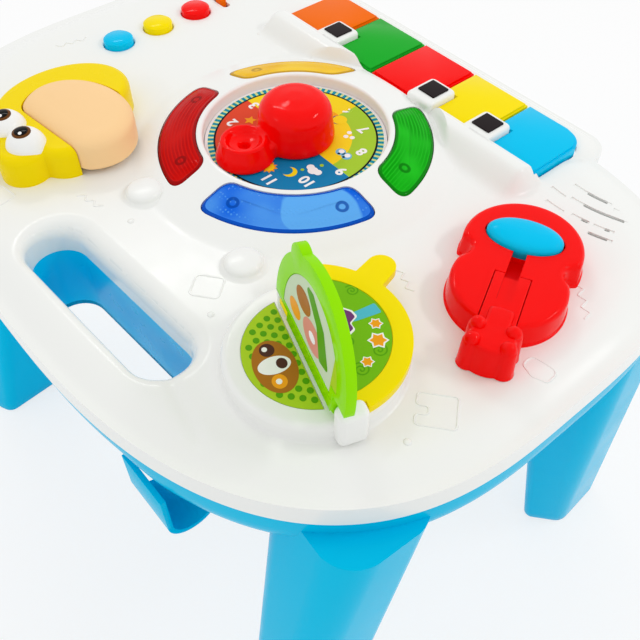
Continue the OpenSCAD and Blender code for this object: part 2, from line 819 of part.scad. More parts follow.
module key_3() key(3, red);
module key_4() key(4, [0.25, 0.75, 0.15]);
module key_5() key(5, [0.95, 0.45, 0.1]);
module sharp_inserts() {
    color([0.1, 0.09, 0.1]) for (k = sharp_gaps)
        translate([k * key_pitch, sharp_y, top_z + 8 - 1.2]) linear_extrude(2)
            square(sharp_w, center = true);
}
// A rubber strip with one hollow dome under each plunger
module dome(r, h) {
    rotate_extrude() polygon([[r - 0.8, 0], [r, 0], [r - 2, h], [0, h], [0, h - 1], [r - 2.7, h - 1]]);
}
module key_mat() {
    color([0.85, 0.85, 0.87]) translate([0, -(key_front + key_back) / 2, tray_top]) {
        difference() {
            translate([0, 0, mat_t / 2]) cube([5 * key_pitch - 10, 18, mat_t], center = true);
            for (i = [1 : 5]) translate([(i - 3) * key_pitch, 0, -eps]) cylinder(r = 5.2, h = mat_t + 1);
        }
        for (i = [1 : 5]) translate([(i - 3) * key_pitch, 0, 0]) dome(6, key_skirt - tray_top - fit);
    }
}

// ---- Guitar ----
guitar_wall = 2.2;
guitar_top = top_z + guitar_h;
bout_mid = [-2, 0];
module bout(r, h) {
    rotate_extrude()
        polygon([[0, 0], [r, 0], [r - 1.2, h - 3], [r - 2, h - 1], [r - 3.5, h], [0, h]]);
}
module guitar_solid(d, h) {
    for (u = [0, bout_gap]) translate([bout_mid[0] + u, 0, 0]) bout(bout_r - d, h);
}
channel_w = neck_w + 2 * gap;
channel_in = 14;
channel_off = 1;
neck_in = 24.5;
module guitar_body() {
    color(red) at_guitar() translate([0, 0, top_z]) difference() {
        union() {
            guitar_solid(0, guitar_h);
            linear_extrude(guitar_h - 1) translate([bout_mid[0] + bout_gap / 2, 0])
                square([bout_gap * 0.3, 1.72 * bout_r], center = true);
        }
        translate([0, 0, -eps]) guitar_solid(guitar_wall, guitar_h - guitar_wall);
        translate([oval_off, 0, guitar_h - 3]) linear_extrude(6) rotate(90)
            polygon(ellipse(oval_a + gap, oval_b + gap, 64));
        translate([channel_in + 50, channel_off, 0]) cube([100, channel_w, 60], center = true);
    }
    color(red) at_guitar() for (p = guitar_bosses) translate([p[0], p[1], top_z])
        ring(screw_r + 2.2, screw_r, guitar_h - guitar_wall + eps);
}
guitar_bosses = [[bout_gap, 17.5], [bout_gap, -15.5], [-19, 0]];
oval_rise = 5;
oval_off = -3;
module guitar_button() {
    color([0.05, 0.6, 0.85]) at_guitar() {
        translate([oval_off, 0, guitar_top - 2]) linear_extrude(oval_rise + 1) rotate(90)
            polygon(ellipse(oval_a, oval_b, 64));
        translate([oval_off, 0, guitar_top - 2 + oval_rise + 1 - eps]) linear_extrude(1) rotate(90)
            polygon(ellipse(oval_a - 1.4, oval_b - 1.4, 64));
        translate([0, 0, dome_top]) cylinder(r = plunger_r, h = guitar_top - 1 - dome_top);
    }
}
dome_top = tray_top + mat_t + dome_h;
module guitar_dome() {
    color([0.85, 0.85, 0.87]) at_guitar() translate([0, 0, tray_top]) {
        ring(10, 6.2, mat_t);
        dome(7, mat_t + dome_h - fit);
    }
}
peg_r = 3.2;
module guitar_neck() {
    color(red) at_guitar() translate([neck_in, channel_off, 0]) {
        translate([0, -neck_w / 2, top_z + 0.3]) cube([27, neck_w, guitar_h - 0.8]);
        translate([25.5, 0.5 - head_w / 2, top_z + 0.3]) cube([head_l, head_w, head_h - 0.3]);
        for (u = [5, head_l - 6.5], side = [-1, 1])
            translate([25.5 + u, 0.5 + side * 7.2, top_z + head_h]) sphere(r = peg_r, $fn = 32);
        translate([rail_in - neck_in, -rail_w / 2, under_z - 2.5])
            cube([rail_out - rail_in, rail_w, wall + 3.5]);
        translate([rail_in - neck_in, -rail_w / 2 - 3, under_z - 2.5])
            cube([rail_out - rail_in, rail_w + 6, 2.1]);
    }
}

// ---- Book ----
tab_r = 6.3;
yellow_disc = [7.5, -3, page_r];
green_disc = [-4, -10, page_r - 4.4];
page_rim = 8;
// A page starts this far from the hinge line, to swing clear of the lug's corners
page_start = 1.42 * knuckle_r + 0.4;
// Page lying towards -y, in the plane of the plinth, with its hinge along x.
// A disc is [across, along, radius].
// A tab is [angle, how far it stands out].
module page_plan(disc, tab) {
    r = disc[2];
    difference() {
        union() {
            translate([disc[0], disc[1]]) circle(r);
            translate([disc[0], disc[1]]) rotate(-tab[0]) hull() {
                translate([r + tab[1] - tab_r, 0]) circle(tab_r);
                translate([r - tab_r, 0]) circle(tab_r + 0.6);
            }
        }
        translate([0, 2 * r - page_start]) square([6 * r, 4 * r], center = true);
        translate([post_x - r + post_w / 2 + gap, 0]) square([2 * r, post_d + 8], center = true);
    }
}
module page(knuckle_x0, knuckle_x1, disc, tab, back_window = false) {
    difference() {
        union() {
            difference() {
                translate([0, 0, page_low]) linear_extrude(page_t) page_plan(disc, tab);
                translate([0, 0, page_low + page_t - 0.8]) linear_extrude(2) page_window(disc, 0);
                if (back_window) translate([0, 0, page_low - 1.2]) linear_extrude(2)
                    page_window(disc, 0);
            }
            translate([knuckle_x0, 0, hinge_z]) rotate([0, 90, 0])
                cylinder(r = knuckle_r, h = knuckle_x1 - knuckle_x0);
            translate([knuckle_x0, -page_start - 1.5, page_low + 0.4])
                cube([knuckle_x1 - knuckle_x0, page_start + 1.5, page_t - 0.4]);
        }
        translate([knuckle_x0 - 1, 0, hinge_z]) rotate([0, 90, 0])
            cylinder(r = rod_r + 0.08, h = knuckle_x1 - knuckle_x0 + 2);
    }
}
module page_window(disc, d) {
    r = disc[2];
    difference() {
        intersection() {
            translate([disc[0], disc[1]]) circle(r - page_rim - d);
            translate([disc[0], -page_start - 2.2 - d - r]) square(2 * r, center = true);
        }
        translate([post_x - r + post_w / 2 + gap + 2 + d, 0])
            square([2 * r, post_d + 12 + 2 * d], center = true);
    }
}
yellow_knuckle = [18.3, lug_x - lug_w / 2 - 0.3];
green_knuckle = [post_x + post_w / 2 + 0.4, 17.9];
module page_yellow() color(yellow) at_book()
    page(yellow_knuckle[0], yellow_knuckle[1], yellow_disc, [58, 14.5]);
module page_yellow_label() {
    color([0.6, 0.85, 0.2]) at_book() translate([0, 0, page_low + page_t - 0.8])
        linear_extrude(0.6) page_window(yellow_disc, fit);
}
// The standing page is the lying one turned over to +y and then up by stand_angle
module stand_up() {
    translate([0, 0, hinge_z]) rotate([stand_angle, 0, 0]) translate([0, 0, -hinge_z])
        mirror([0, 1, 0]) children();
}
module page_green() {
    color(lime) at_book() stand_up()
        page(green_knuckle[0], green_knuckle[1], green_disc, [55, 3.5], true);
}
module page_green_label() {
    color([0.75, 0.9, 0.7]) at_book() stand_up() translate([0, 0, page_low + page_t - 0.8])
        linear_extrude(0.6) page_window(green_disc, fit);
}
module page_green_back_label() {
    color([0.75, 0.9, 0.7]) at_book() stand_up() translate([0, 0, page_low + 0.2])
        linear_extrude(0.6) page_window(green_disc, fit);
}
module hinge_rod() {
    color([0.7, 0.7, 0.72]) at_book() translate([rod_end, 0, hinge_z]) rotate([0, 90, 0])
        cylinder(r = rod_r, h = lug_x + lug_w / 2 - 0.5 - rod_end);
}
module plinth_label() {
    color([0.6, 0.85, 0.2]) at_book() translate([0, 0, top_z + plinth_h - label_cut])
        linear_extrude(label_cut) plinth_pocket(fit);
}

// ---- Animal drum ----
eye_sites = [[-7, 33], [9.5, 32]];
face_body = [20, -2];
face_a = 27;
face_b = 36;
lobe_r = 13;
module face_plan(d) {
    translate([-4.5, 33.5]) circle(lobe_r - 0.7 - d);
    translate([14, 35]) circle(lobe_r - d);
    translate(face_body) polygon(ellipse(face_a - d, face_b - d, 64));
    translate([-10, 14]) circle(lobe_r + 1 - d);
}
module animal_face() {
    color([1, 0.86, 0]) at_drum() difference() {
        union() {
            translate([0, 0, top_z]) linear_extrude(face_h - 3) face_plan(0);
            translate([0, 0, top_z + face_h - 3]) linear_extrude(2) face_plan(0.9);
            translate([0, 0, top_z + face_h - 1 - eps]) linear_extrude(1) face_plan(2.4);
        }
        translate([0, 0, top_z - eps]) linear_extrude(face_h - guitar_wall) face_plan(guitar_wall);
        translate([0, 0, top_z - 1]) linear_extrude(50)
            rotate(drum_turn) polygon(drum_plan(-gap, 48));
    }
    color([1, 0.86, 0]) at_drum() for (p = face_bosses) translate([p[0], p[1], top_z])
        ring(screw_r + 2.2, screw_r, face_h - guitar_wall + eps);
}
face_bosses = [[34, 22], [36, -22], [1, 26]];
drum_z = top_z + drum_travel + 0.8;
// The muzzle is an oval with a flattened back, turned a little
drum_turn = 7;
drum_cut = 17;
function drum_plan(d, count) =
    [for (p = ellipse(drum_a - d, drum_b - d, count)) [p[0], min(p[1], drum_cut - d)]];
function drum_ring(d, z) = [for (p = drum_plan(d, 48)) [p[0], p[1], z]];
drum_wall = 2.2;
module muzzle_drum() {
    side_z = drum_z + drum_h - 9;
    color([0.99, 0.78, 0.5]) at_drum() {
        difference() {
            rotate(drum_turn) loft(concat([drum_ring(0, drum_z)],
                [for (i = [0 : 4]) drum_ring(11 * (1 - cos(22.5 * i)), side_z + 7 * sin(22.5 * i))]));
            translate([0, 0, drum_z - eps]) rotate(drum_turn) linear_extrude(drum_h - 10)
                polygon(drum_plan(drum_wall, 48));
        }
        translate([0, 0, dome_top]) cylinder(r = plunger_r + 1, h = side_z - dome_top);
    }
}
module muzzle_dome() {
    color([0.85, 0.85, 0.87]) at_drum() translate([0, 0, tray_top]) {
        ring(12, 8.2, mat_t);
        dome(9, mat_t + dome_h - fit);
    }
}
module eye_whites() {
    color([0.97, 0.97, 0.95]) at_drum() for (p = eye_sites)
        translate([p[0], p[1], top_z + face_h]) intersection() {
            translate([0, 0, eye_rise - eye_r]) sphere(r = eye_r);
            cylinder(r = eye_r, h = eye_r);
        }
}
eye_rise = 8;
pupil_r = 4.6;
pupil_shift = [-0.6, 0.4];
module eye_pupils() {
    color([0.12, 0.06, 0.05]) at_drum() for (p = eye_sites)
        translate([p[0], p[1], top_z + face_h + eye_rise - eye_r]) intersection() {
            difference() {
                sphere(r = eye_r + 0.4);
                sphere(r = eye_r);
            }
            translate([pupil_shift[0], pupil_shift[1], 0]) cylinder(r = pupil_r, h = 2 * eye_r);
        }
}

// ---- Sound, lights and power ----
module speaker() {
    color([0.15, 0.15, 0.16]) translate([speaker_x, speaker_y, speaker_z]) {
        cylinder(r = speaker_r, h = speaker_h);
        translate([0, 0, -5]) cylinder(r = speaker_r * 0.55, h = 5 + eps);
    }
}
module light_boards() {
    mid_r = (lens_in_r + lens_out_r) / 2;
    color([0.1, 0.45, 0.2]) at_clock() for (k = [0 : 3]) rotate(lens_angle(k))
        translate([mid_r, 0, tray_top]) {
            translate([0, 0, 0.8]) cube([10, 30, 1.6], center = true);
            for (y = [-9, 9]) translate([0, y, 1.6 - eps]) cylinder(r = 2.5, h = 5);
        }
}
board_z = tray_z - 7;
module circuit_board() {
    color([0.1, 0.45, 0.2]) {
        translate([-45, 30, board_z]) cube([80, 44, 1.6]);
        for (x = [-38, 28], y = [36, 68]) translate([x, y, board_z + 1.6 - eps])
            cylinder(r = 2.5, h = tray_z - board_z - 1.6);
        translate([-20, 44, board_z - 3]) cube([16, 12, 3 + eps]);
    }
}
cell_z = tub_z + door_t + 0.6 + cell_r;
module battery_case() {
    color([0.2, 0.2, 0.22]) translate([door_x, door_y, 0]) difference() {
        union() {
            translate([0, 0, floor_z]) linear_extrude(2 * cell_r + 4)
                square([case_w + 4, case_d + 4], center = true);
            translate([tab_x, 0, floor_z]) cylinder(r = door_tab_r, h = 10);
        }
        translate([tab_x, 0, floor_z - 1]) cylinder(r = screw_r, h = 8);
        translate([0, 0, floor_z - 1]) linear_extrude(2 * cell_r + 3 - 0.4)
            square([case_w, case_d], center = true);
    }
}
module battery_cells() {
    color([0.25, 0.25, 0.28]) translate([door_x, door_y, cell_z]) for (i = [-1 : 1])
        translate([-cell_l / 2, i * (2 * cell_r + 0.6), 0]) rotate([0, 90, 0])
            cylinder(r = cell_r, h = cell_l);
}
module battery_contacts() {
    plate_gap = (case_w - cell_l) / 2;
    color([0.8, 0.8, 0.82]) translate([door_x, door_y, cell_z]) for (side = [-1, 1]) {
        translate([side * (case_w / 2 - 0.3), 0, 0])
            cube([0.6, case_d - 4, 10], center = true);
        for (i = [-1 : 1]) translate([side * (cell_l / 2 + plate_gap / 2), i * (2 * cell_r + 0.6), 0])
            rotate([0, 90, 0]) translate([0, 0, -plate_gap / 2]) cylinder(r = 3, h = plate_gap - 0.3);
    }
}
module battery_door() {
    color(sky) translate([door_x, door_y, tub_z]) difference() {
        linear_extrude(door_t) door_plan(fit);
        translate([tab_x, 0, -1]) cylinder(r = screw_r + fit, h = door_t + 2);
        translate([tab_x, 0, -1]) cylinder(r = screw_r + 1.7, h = 2);
    }
}
module screw(r, h, head_r, head_t) {
    cylinder(r = head_r, h = head_t);
    cylinder(r = r, h = h);
}
module door_screw() {
    color([0.6, 0.6, 0.62]) translate([door_x + tab_x, door_y, tub_z - 0.2]) screw(screw_r, 8, 3, 1.2);
}
module case_screws() {
    color([0.6, 0.6, 0.62]) at_bosses() translate([0, 0, tub_screw_z - 2])
        screw(screw_r, under_z - tub_screw_z - 2, tub_boss_r - 1.2, 2);
}
module leg_screws() {
    color([0.6, 0.6, 0.62]) at_plugs() translate([0, 0, socket_h + 2]) mirror([0, 0, 1])
        screw(leg_screw_r, 16, leg_screw_r + 1.8, 2);
}
module toy_screws() {
    color([0.6, 0.6, 0.62]) {
        at_guitar() for (p = guitar_bosses) translate([p[0], p[1], under_z - 2]) screw(screw_r, 10, 3, 2);
        at_drum() for (p = face_bosses) translate([p[0], p[1], under_z - 2]) screw(screw_r, 10, 3, 2);
    }
}

// ---- Mode buttons and power switch ----
mode_rise = 4;
module mode_button(i, tint) {
    color(tint) at_mode(i) {
        translate([0, 0, top_z - wall - 1]) rotate_extrude()
            polygon([[0, 0], [mode_r, 0], [mode_r, wall + mode_rise], [mode_r - 1.5, wall + mode_rise + 1],
                     [0, wall + mode_rise + 1]]);
        translate([0, 0, under_z - 2]) cylinder(r = mode_r + 1.8, h = 1.6);
        translate([0, 0, dome_top]) cylinder(r = 3, h = under_z - dome_top);
    }
}
module mode_button_1() mode_button(-1, red);
module mode_button_2() mode_button(0, yellow);
module mode_button_3() mode_button(1, [0.1, 0.45, 0.9]);
module mode_mat() {
    color([0.85, 0.85, 0.87]) {
        translate([mode_x, mode_y, tray_top]) difference() {
            translate([0, 0, mat_t / 2]) cube([16, 2 * mode_pitch + 16, mat_t], center = true);
            for (i = [-1 : 1]) translate([0, i * mode_pitch, -eps]) cylinder(r = 4.2, h = mat_t + 1);
        }
        for (i = [-1 : 1]) at_mode(i) translate([0, 0, tray_top]) dome(5, mat_t + dome_h - fit);
    }
}
module switch_body() {
    color([0.15, 0.15, 0.16]) translate([mode_x, switch_y, tray_top])
        translate([0, 0, 2.5]) cube([24, 8, 5], center = true);
}
module switch_knob() {
    color([0.95, 0.45, 0.1]) translate([mode_x, switch_y, 0]) {
        translate([0, 0, (tray_top + 5.3 + top_z + 3) / 2])
            cube([6, 5 - 2 * gap, top_z + 3 - tray_top - 5.3], center = true);
        translate([0, 0, under_z - 1.4]) cube([14, 9, 1.6], center = true);
    }
}

top_shell();
bottom_shell();
leg(-1, -1);  // leg_front_left
leg(1, -1);  // leg_front_right
leg(-1, 1);  // leg_back_left
leg(1, 1);  // leg_back_right
under_hook();
inner_tray();
dial_plate();
lens_yellow();
lens_blue();
lens_green();
lens_red();
clock_pointer();
pointer_axle();
axle_clip();
key_1();
key_2();
key_3();
key_4();
key_5();
sharp_inserts();
key_mat();
guitar_body();
guitar_button();
guitar_neck();
guitar_dome();
page_yellow();
page_green();
hinge_rod();
plinth_label();
page_yellow_label();
page_green_label();
page_green_back_label();
animal_face();
muzzle_drum();
muzzle_dome();
eye_whites();
eye_pupils();
speaker();
light_boards();
circuit_board();
battery_case();
battery_cells();
battery_contacts();
battery_door();
door_screw();
case_screws();
leg_screws();
toy_screws();
switch_knob();
switch_body();
mode_button_1();
mode_button_2();
mode_button_3();
mode_mat();
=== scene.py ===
import json
import math

import bpy
import numpy as np
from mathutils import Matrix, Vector


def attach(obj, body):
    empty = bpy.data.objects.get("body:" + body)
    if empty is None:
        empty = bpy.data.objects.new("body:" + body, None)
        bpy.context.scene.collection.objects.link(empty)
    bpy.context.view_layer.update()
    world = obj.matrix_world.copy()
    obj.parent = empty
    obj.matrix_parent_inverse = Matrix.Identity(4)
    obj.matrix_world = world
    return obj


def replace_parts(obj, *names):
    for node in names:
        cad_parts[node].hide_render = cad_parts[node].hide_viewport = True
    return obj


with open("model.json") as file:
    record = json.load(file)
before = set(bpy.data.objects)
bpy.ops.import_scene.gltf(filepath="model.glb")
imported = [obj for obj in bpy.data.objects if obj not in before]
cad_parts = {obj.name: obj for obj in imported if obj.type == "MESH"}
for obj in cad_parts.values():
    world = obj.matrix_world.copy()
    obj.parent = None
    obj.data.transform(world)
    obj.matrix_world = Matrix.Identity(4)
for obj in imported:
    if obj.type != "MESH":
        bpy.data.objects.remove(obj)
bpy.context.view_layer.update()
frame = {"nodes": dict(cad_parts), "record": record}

# Lengths are in millimetres until a mesh is made, and a site turns by degrees.
MM = 0.001
QUARTER = math.pi / 2


# ---- Sizes of the table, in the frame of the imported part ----
TOP_Z = 260.0
SEAM_Z = TOP_Z - 16
RIM_ROUND = 20.0
HALF_W = 191.0
BACK_DEPTH, BACK_POWER = 144.0, 2.7
FRONT_DEPTH, FRONT_POWER = 134.0, 4.0
SKIN_T = 2.4

CLOCK = (0.0, -21.0)
CREST_R, CREST_Z = 48.0, TOP_Z + 10
SEAT_R, SEAT_Z = 71.3, TOP_Z + 3
SEAT_WALL_R = 46.35
LENS_IN, LENS_OUT = 49.8, 69.2
SIDE_BRIDGE, FRONT_BRIDGE, GREEN_BRIDGE = 17.0, 44.0, 12.5
BRIDGES = ((SIDE_BRIDGE, SIDE_BRIDGE), (SIDE_BRIDGE, SIDE_BRIDGE), (GREEN_BRIDGE, FRONT_BRIDGE),
           (FRONT_BRIDGE, SIDE_BRIDGE))
LENS_TURN = 47.0
DIAL_Z = TOP_Z + 4

KEY_PITCH = 38.5
FIELD_W = 5 * KEY_PITCH
KEY_FRONT, KEY_BACK = -132.0, -90.0
FIELD_CORNER = 13.0
SHELF_W, SHELF_FRONT, SHELF_BACK = FIELD_W + 14, -147.0, -60.0
SHELF_CORNER, SHELF_ROUND = 14.0, 10.0
RIDGE_H, RIDGE_BACK = 10.0, -64.0
SHARP_GAPS = (-1.5, -0.5, 1.5)
SHARP_BLOCK = 18.0

# A site is (x, y, turn)
HANDLE = (-27.0, 107.0, 3.0)
HANDLE_STRAIGHT, HANDLE_R = 79.0, 13.5
HANDLE_LIP, LIP_OUTER, LIP_CUT = 9.5, 4.0, 1.8
GUITAR = (-128.0, -44.0, 117.3)
GUITAR_TOP = TOP_Z + 12
BOOK = (-116.8, 64.6, -18.7)
PLINTH_MID, PLINTH_R, PLINTH_TOP = (6.0, -2.8), 37.0, TOP_Z + 8
POCKET_R, POCKET_EDGE = PLINTH_R - 8, 3.9
HINGE_Z = 274.2
DRUM = (72.0, 60.0, 0.0)
FACE_TOP = TOP_Z + 16
STUBS = ((-52.0, 50.5), (16.5, 58.5))
STUB_R, STUB_H = 8.5, 4.6
MODES = [(140.0, -28.0 + 27.0 * i) for i in (-1, 0, 1)]
MODE_HOLE = 9.0
SWITCH = (140.0, -73.9)


# ---- Materials ----
def tone(r, g, b):
    """Linear colour of an sRGB one."""
    return tuple((c / 12.92 if c <= 0.04045 else ((c + 0.055) / 1.055) ** 2.4)
                 for c in (r / 255, g / 255, b / 255)) + (1.0,)


class Tree:
    """A node tree, filled by name."""

    def __init__(self, tree):
        self.tree = tree

    def add(self, kind, **values):
        node = self.tree.nodes.new(kind)
        for key, value in values.items():
            setattr(node, key, value)
        return node

    def link(self, a, b):
        self.tree.links.new(a, b)

    def value(self, socket, value):
        if isinstance(value, bpy.types.NodeSocket):
            self.link(value, socket)
        else:
            socket.default_value = value

    def fill(self, node, **values):
        """Sets a node's inputs; an underscore stands for a space in their names."""
        for key, value in values.items():
            self.value(node.inputs[key.replace("_", " ")], value)

    def math(self, operation, a, b=0.0, c=0.0):
        node = self.add("ShaderNodeMath", operation=operation)
        for socket, value in zip(node.inputs, (a, b, c)):
            self.value(socket, value)
        return node.outputs[0]

    def seen(self):
        """1 where a ray shows the surface, also in metal or glass, and 0 where it only lights."""
        rays = self.add("ShaderNodeLightPath").outputs
        direct = self.math("MAXIMUM", rays["Is Camera Ray"], rays["Is Glossy Ray"])
        return self.math("MAXIMUM", direct, rays["Is Transmission Ray"])


class Nodes(Tree):
    """A new material's node tree, with its shader and the object's own coordinates."""

    def __init__(self, name):
        self.material = bpy.data.materials.new(name)
        self.material.use_nodes = True
        super().__init__(self.material.node_tree)
        self.shader = self.tree.nodes["Principled BSDF"]
        self.place = self.add("ShaderNodeTexCoord").outputs["Object"]

    def noise(self, scale, detail=2.0):
        node = self.add("ShaderNodeTexNoise")
        self.fill(node, Vector=self.place, Scale=scale, Detail=detail)
        return node.outputs["Fac"]

    def ramp(self, fac, low, high, a, b):
        """fac from low to high turned into a to b."""
        node = self.add("ShaderNodeMapRange", interpolation_type="SMOOTHSTEP")
        self.fill(node, Value=fac, From_Min=low, From_Max=high, To_Min=a, To_Max=b)
        return node.outputs["Result"]

    def mix(self, fac, a, b):
        node = self.add("ShaderNodeMix", data_type="RGBA")
        for socket, value in ((0, fac), (6, a), (7, b)):
            self.value(node.inputs[socket], value)
        return node.outputs[2]

    def far(self, x, y, z):
        """Distance from a point of the table, in metres."""
        node = self.add("ShaderNodeVectorMath", operation="DISTANCE")
        self.link(self.place, node.inputs[0])
        node.inputs[1].default_value = (x * MM, y * MM, z * MM)
        return node.outputs["Value"]

    def bump(self, height, strength, distance):
        node = self.add("ShaderNodeBump")
        self.fill(node, Height=height, Strength=strength, Distance=distance)
        self.set(Normal=node.outputs["Normal"])

    def set(self, **values):
        self.fill(self.shader, **values)


def shade_of(color, k):
    return tuple(c * k for c in color[:3]) + (1.0,)


def surface(name, color, dark, rough, scales, strength, depth, **values):
    """A drift of tint, one of gloss between two roughnesses, and a ripple, each at its noise scale."""
    n = Nodes(name)
    tint, gloss, ripple = (n.noise(scale, detail) for scale, detail in scales)
    n.set(Base_Color=n.mix(tint, shade_of(color, dark), color),
          Roughness=n.ramp(gloss, 0.3, 0.7, *rough), **values)
    n.bump(ripple, strength, depth)
    return n.material


def plastic(name, color, rough=0.22, vary=0.05, grain=0.15, mirror=0.07):
    """Moulded ABS, glossy."""
    return surface(name, color, 1 - vary, (rough * 0.85, rough * 1.2), ((18, 3), (55, 4), (120, 2)),
                   grain, 0.00015, IOR=1.5, Specular_IOR_Level=mirror)


def satin(name, color, rough=0.5, vary=0.08):
    """Fine-grained plastic, card or silicone."""
    return surface(name, color, 1 - vary, (rough * 0.85, rough * 1.15), ((30, 3), (90, 4), (900, 3)),
                   0.25, 0.00008, Specular_IOR_Level=0.06)


def metal(name, color, rough=0.3):
    return surface(name, color, 0.8, (rough * 0.7, rough * 1.3), ((300, 4), (500, 4), (1500, 2)),
                   0.2, 0.00003, Metallic=1.0)


RIB_Z, TRAY_Z = 266.0, 266.5
RIB_WAVES = 3600.0
LAMP_RING = 2.4


def window(name, deep, bright, dots=0.0, ribs=0.0, lamps=(), glare=None):
    """Clear tinted plastic over a tray in painted light and shade: patches of painted light, a painted glare,
    a dot or rib pattern, and lamp rings.
    """
    n = Nodes(name)
    # Patches of painted light on the tray
    patches = n.ramp(n.noise(26, 2), 0.42, 0.66, 0.0, 0.75)
    if dots:
        cells = n.add("ShaderNodeTexVoronoi")
        n.fill(cells, Vector=n.place, Scale=520, Randomness=0.15)
        specks = n.ramp(cells.outputs["Distance"], 0.15, 0.4, dots, 0.0)
        patches = n.math("MAXIMUM", n.math("MULTIPLY", patches, 0.75), specks)
        n.bump(specks, 0.5, 0.0002)
    if ribs:
        waver = n.math("MULTIPLY", n.noise(60), 6.0)
        wave = n.math("SINE", n.math("MULTIPLY_ADD", n.far(*CLOCK, RIB_Z), RIB_WAVES, waver))
        lines = n.ramp(wave, -0.4, 1.0, 0.0, ribs)
        patches = n.math("MAXIMUM", patches, lines)
        n.bump(lines, 0.35, 0.0002)
    # A painted reflection on one lens
    if glare is not None:
        ragged = n.math("MULTIPLY_ADD", n.noise(70, 1), 0.012, n.far(*glare, TRAY_Z))
        patches = n.math("MAXIMUM", patches, n.ramp(ragged, 0.023, 0.0255, 0.85, 0.0))
    color = n.mix(patches, deep, bright)
    for place in lamps:
        off = n.math("ABSOLUTE", n.math("SUBTRACT", n.far(*place, TRAY_Z), LAMP_RING * MM))
        color = n.mix(n.ramp(off, 0.5 * MM, 1.1 * MM, 0.8, 0.0), color, shade_of(deep, 0.5))
    n.set(Base_Color=color, Roughness=0.08, IOR=1.5, Specular_IOR_Level=0.035)
    return n.material


def board(name):
    """A lacquered board with lighter tracks."""
    n = Nodes(name)
    tracks = n.add("ShaderNodeTexBrick")
    n.fill(tracks, Vector=n.place, Scale=120, Color1=tone(20, 110, 50), Color2=tone(25, 125, 60),
           Mortar=tone(60, 160, 90))
    n.set(Base_Color=tracks.outputs["Color"], Roughness=0.4)
    return n.material


WHITE = tone(244, 245, 242)
M = {
    "white_abs": plastic("white_gloss", WHITE, 0.2, 0.015, 0.1, 0.25),
    "sky_abs": plastic("sky_gloss", tone(0, 196, 238), 0.2, 0.05, mirror=0.03),
    "red_abs": plastic("red_gloss", tone(255, 4, 2), 0.09, 0.04, mirror=0.11),
    "yellow_abs": plastic("yellow_gloss", tone(255, 230, 0), 0.15),
    "lime_abs": plastic("lime_gloss", tone(150, 232, 0), 0.15),
    "key_blue": plastic("aqua_gloss", tone(0, 200, 246), 0.1),
    "key_green": plastic("green_gloss", tone(20, 175, 40), 0.2),
    "key_orange": plastic("orange_gloss", tone(250, 112, 0), 0.2),
    "peach_abs": satin("peach_satin", tone(255, 214, 158), 0.42, 0.04),
    "black_abs": plastic("black_gloss", tone(34, 26, 28), 0.2),
    "printed_card": satin("printed_card", tone(178, 214, 40), 0.4),
    "grey_abs": satin("grey_satin", tone(190, 192, 196), 0.5),
    "dark_abs": satin("dark_satin", tone(42, 42, 45), 0.5),
    "silicone": satin("silicone", tone(215, 215, 218), 0.6),
    "steel": metal("steel", tone(190, 190, 195)),
    "cell": satin("cell_wrap", tone(60, 60, 70), 0.35),
    "board": board("circuit_board_green"),
}


# ---- Meshes ----
SHARP = 40
SOFT_ANGLE, WELD = 35, 0.02


def shade(mesh, angle=SHARP):
    """Smooth shading, with sharp edges over this angle."""
    mesh.polygons.foreach_set("use_smooth", [True] * len(mesh.polygons))
    mesh.set_sharp_from_angle(angle=math.radians(angle))


def new_object(name, data):
    obj = bpy.data.objects.new(name, data)
    bpy.context.scene.collection.objects.link(obj)
    return obj


def piece(name, solid, body, slot, materials=None, sharp=SHARP, index=None):
    """A new piece of the part, from vertices in millimetres and faces, in its slot's material or others."""
    verts, faces = solid
    mesh = bpy.data.meshes.new(name)
    mesh.from_pydata((np.asarray(verts, dtype=float) * MM).tolist(), [], faces)
    mesh.validate()
    for material in materials or [M[slot]]:
        mesh.materials.append(material)
    if index is not None:
        mesh.polygons.foreach_set("material_index", index)
    obj = new_object(name, mesh)
    shade(mesh, sharp)
    if body:
        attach(obj, body)
    return obj


def at(site, points):
    """Points (x, y, z) or (x, y) of a site's own frame, in the table's frame."""
    p = np.array(points, dtype=float)
    turn = math.radians(site[2] if len(site) > 2 else 0.0)
    x = site[0] + p[..., 0] * math.cos(turn) - p[..., 1] * math.sin(turn)
    y = site[1] + p[..., 0] * math.sin(turn) + p[..., 1] * math.cos(turn)
    p[..., 0], p[..., 1] = x, y
    return p


def placed(site, solid):
    """A solid of a site's own frame, in the table's frame."""
    return at(site, solid[0]), solid[1]


def lifted(solid, z):
    return solid[0] + (0, 0, z), solid[1]


def flipped(solid):
    """The same solid with its faces turned over."""
    return solid[0], [face[::-1] for face in solid[1]]


def around(count):
    """Evenly spaced angles of one turn."""
    return np.linspace(0, 2 * math.pi, count, endpoint=False)


def polar(r, t, middle=(0.0, 0.0)):
    """Points at distance r and angle t from the middle."""
    return np.stack([r * np.cos(t), r * np.sin(t)], axis=-1) + middle


def ring(outline, z):
    """Points (x, y) lifted to a height, or to one height each."""
    outline = np.asarray(outline, dtype=float)
    return np.column_stack([outline, np.broadcast_to(z, len(outline))])


def skin(rings, closed=False):
    """Vertices and faces of a skin through rings of equal length, counter-clockwise and going up."""
    n = len(rings[0])
    last = (len(rings) - 1) * n
    i = np.arange(n)
    j = (i + 1) % n
    faces = []
    for k in range(len(rings) if closed else len(rings) - 1):
        a, b = k * n, (k + 1) % len(rings) * n
        faces += np.column_stack([a + i, a + j, b + j, b + i]).tolist()
    if not closed:
        faces += [list(range(n - 1, -1, -1)), list(range(last, last + n))]
    return np.concatenate(rings), faces


def stack(ring_of, levels):
    """A skin through ring_of(inset, z) at each (inset, z)."""
    return skin([ring_of(inset, z) for inset, z in levels])


def offset(x, z, *steps):
    """(x, z) pairs that lie these steps away from one point."""
    return [(x + across, z + up) for across, up in steps]


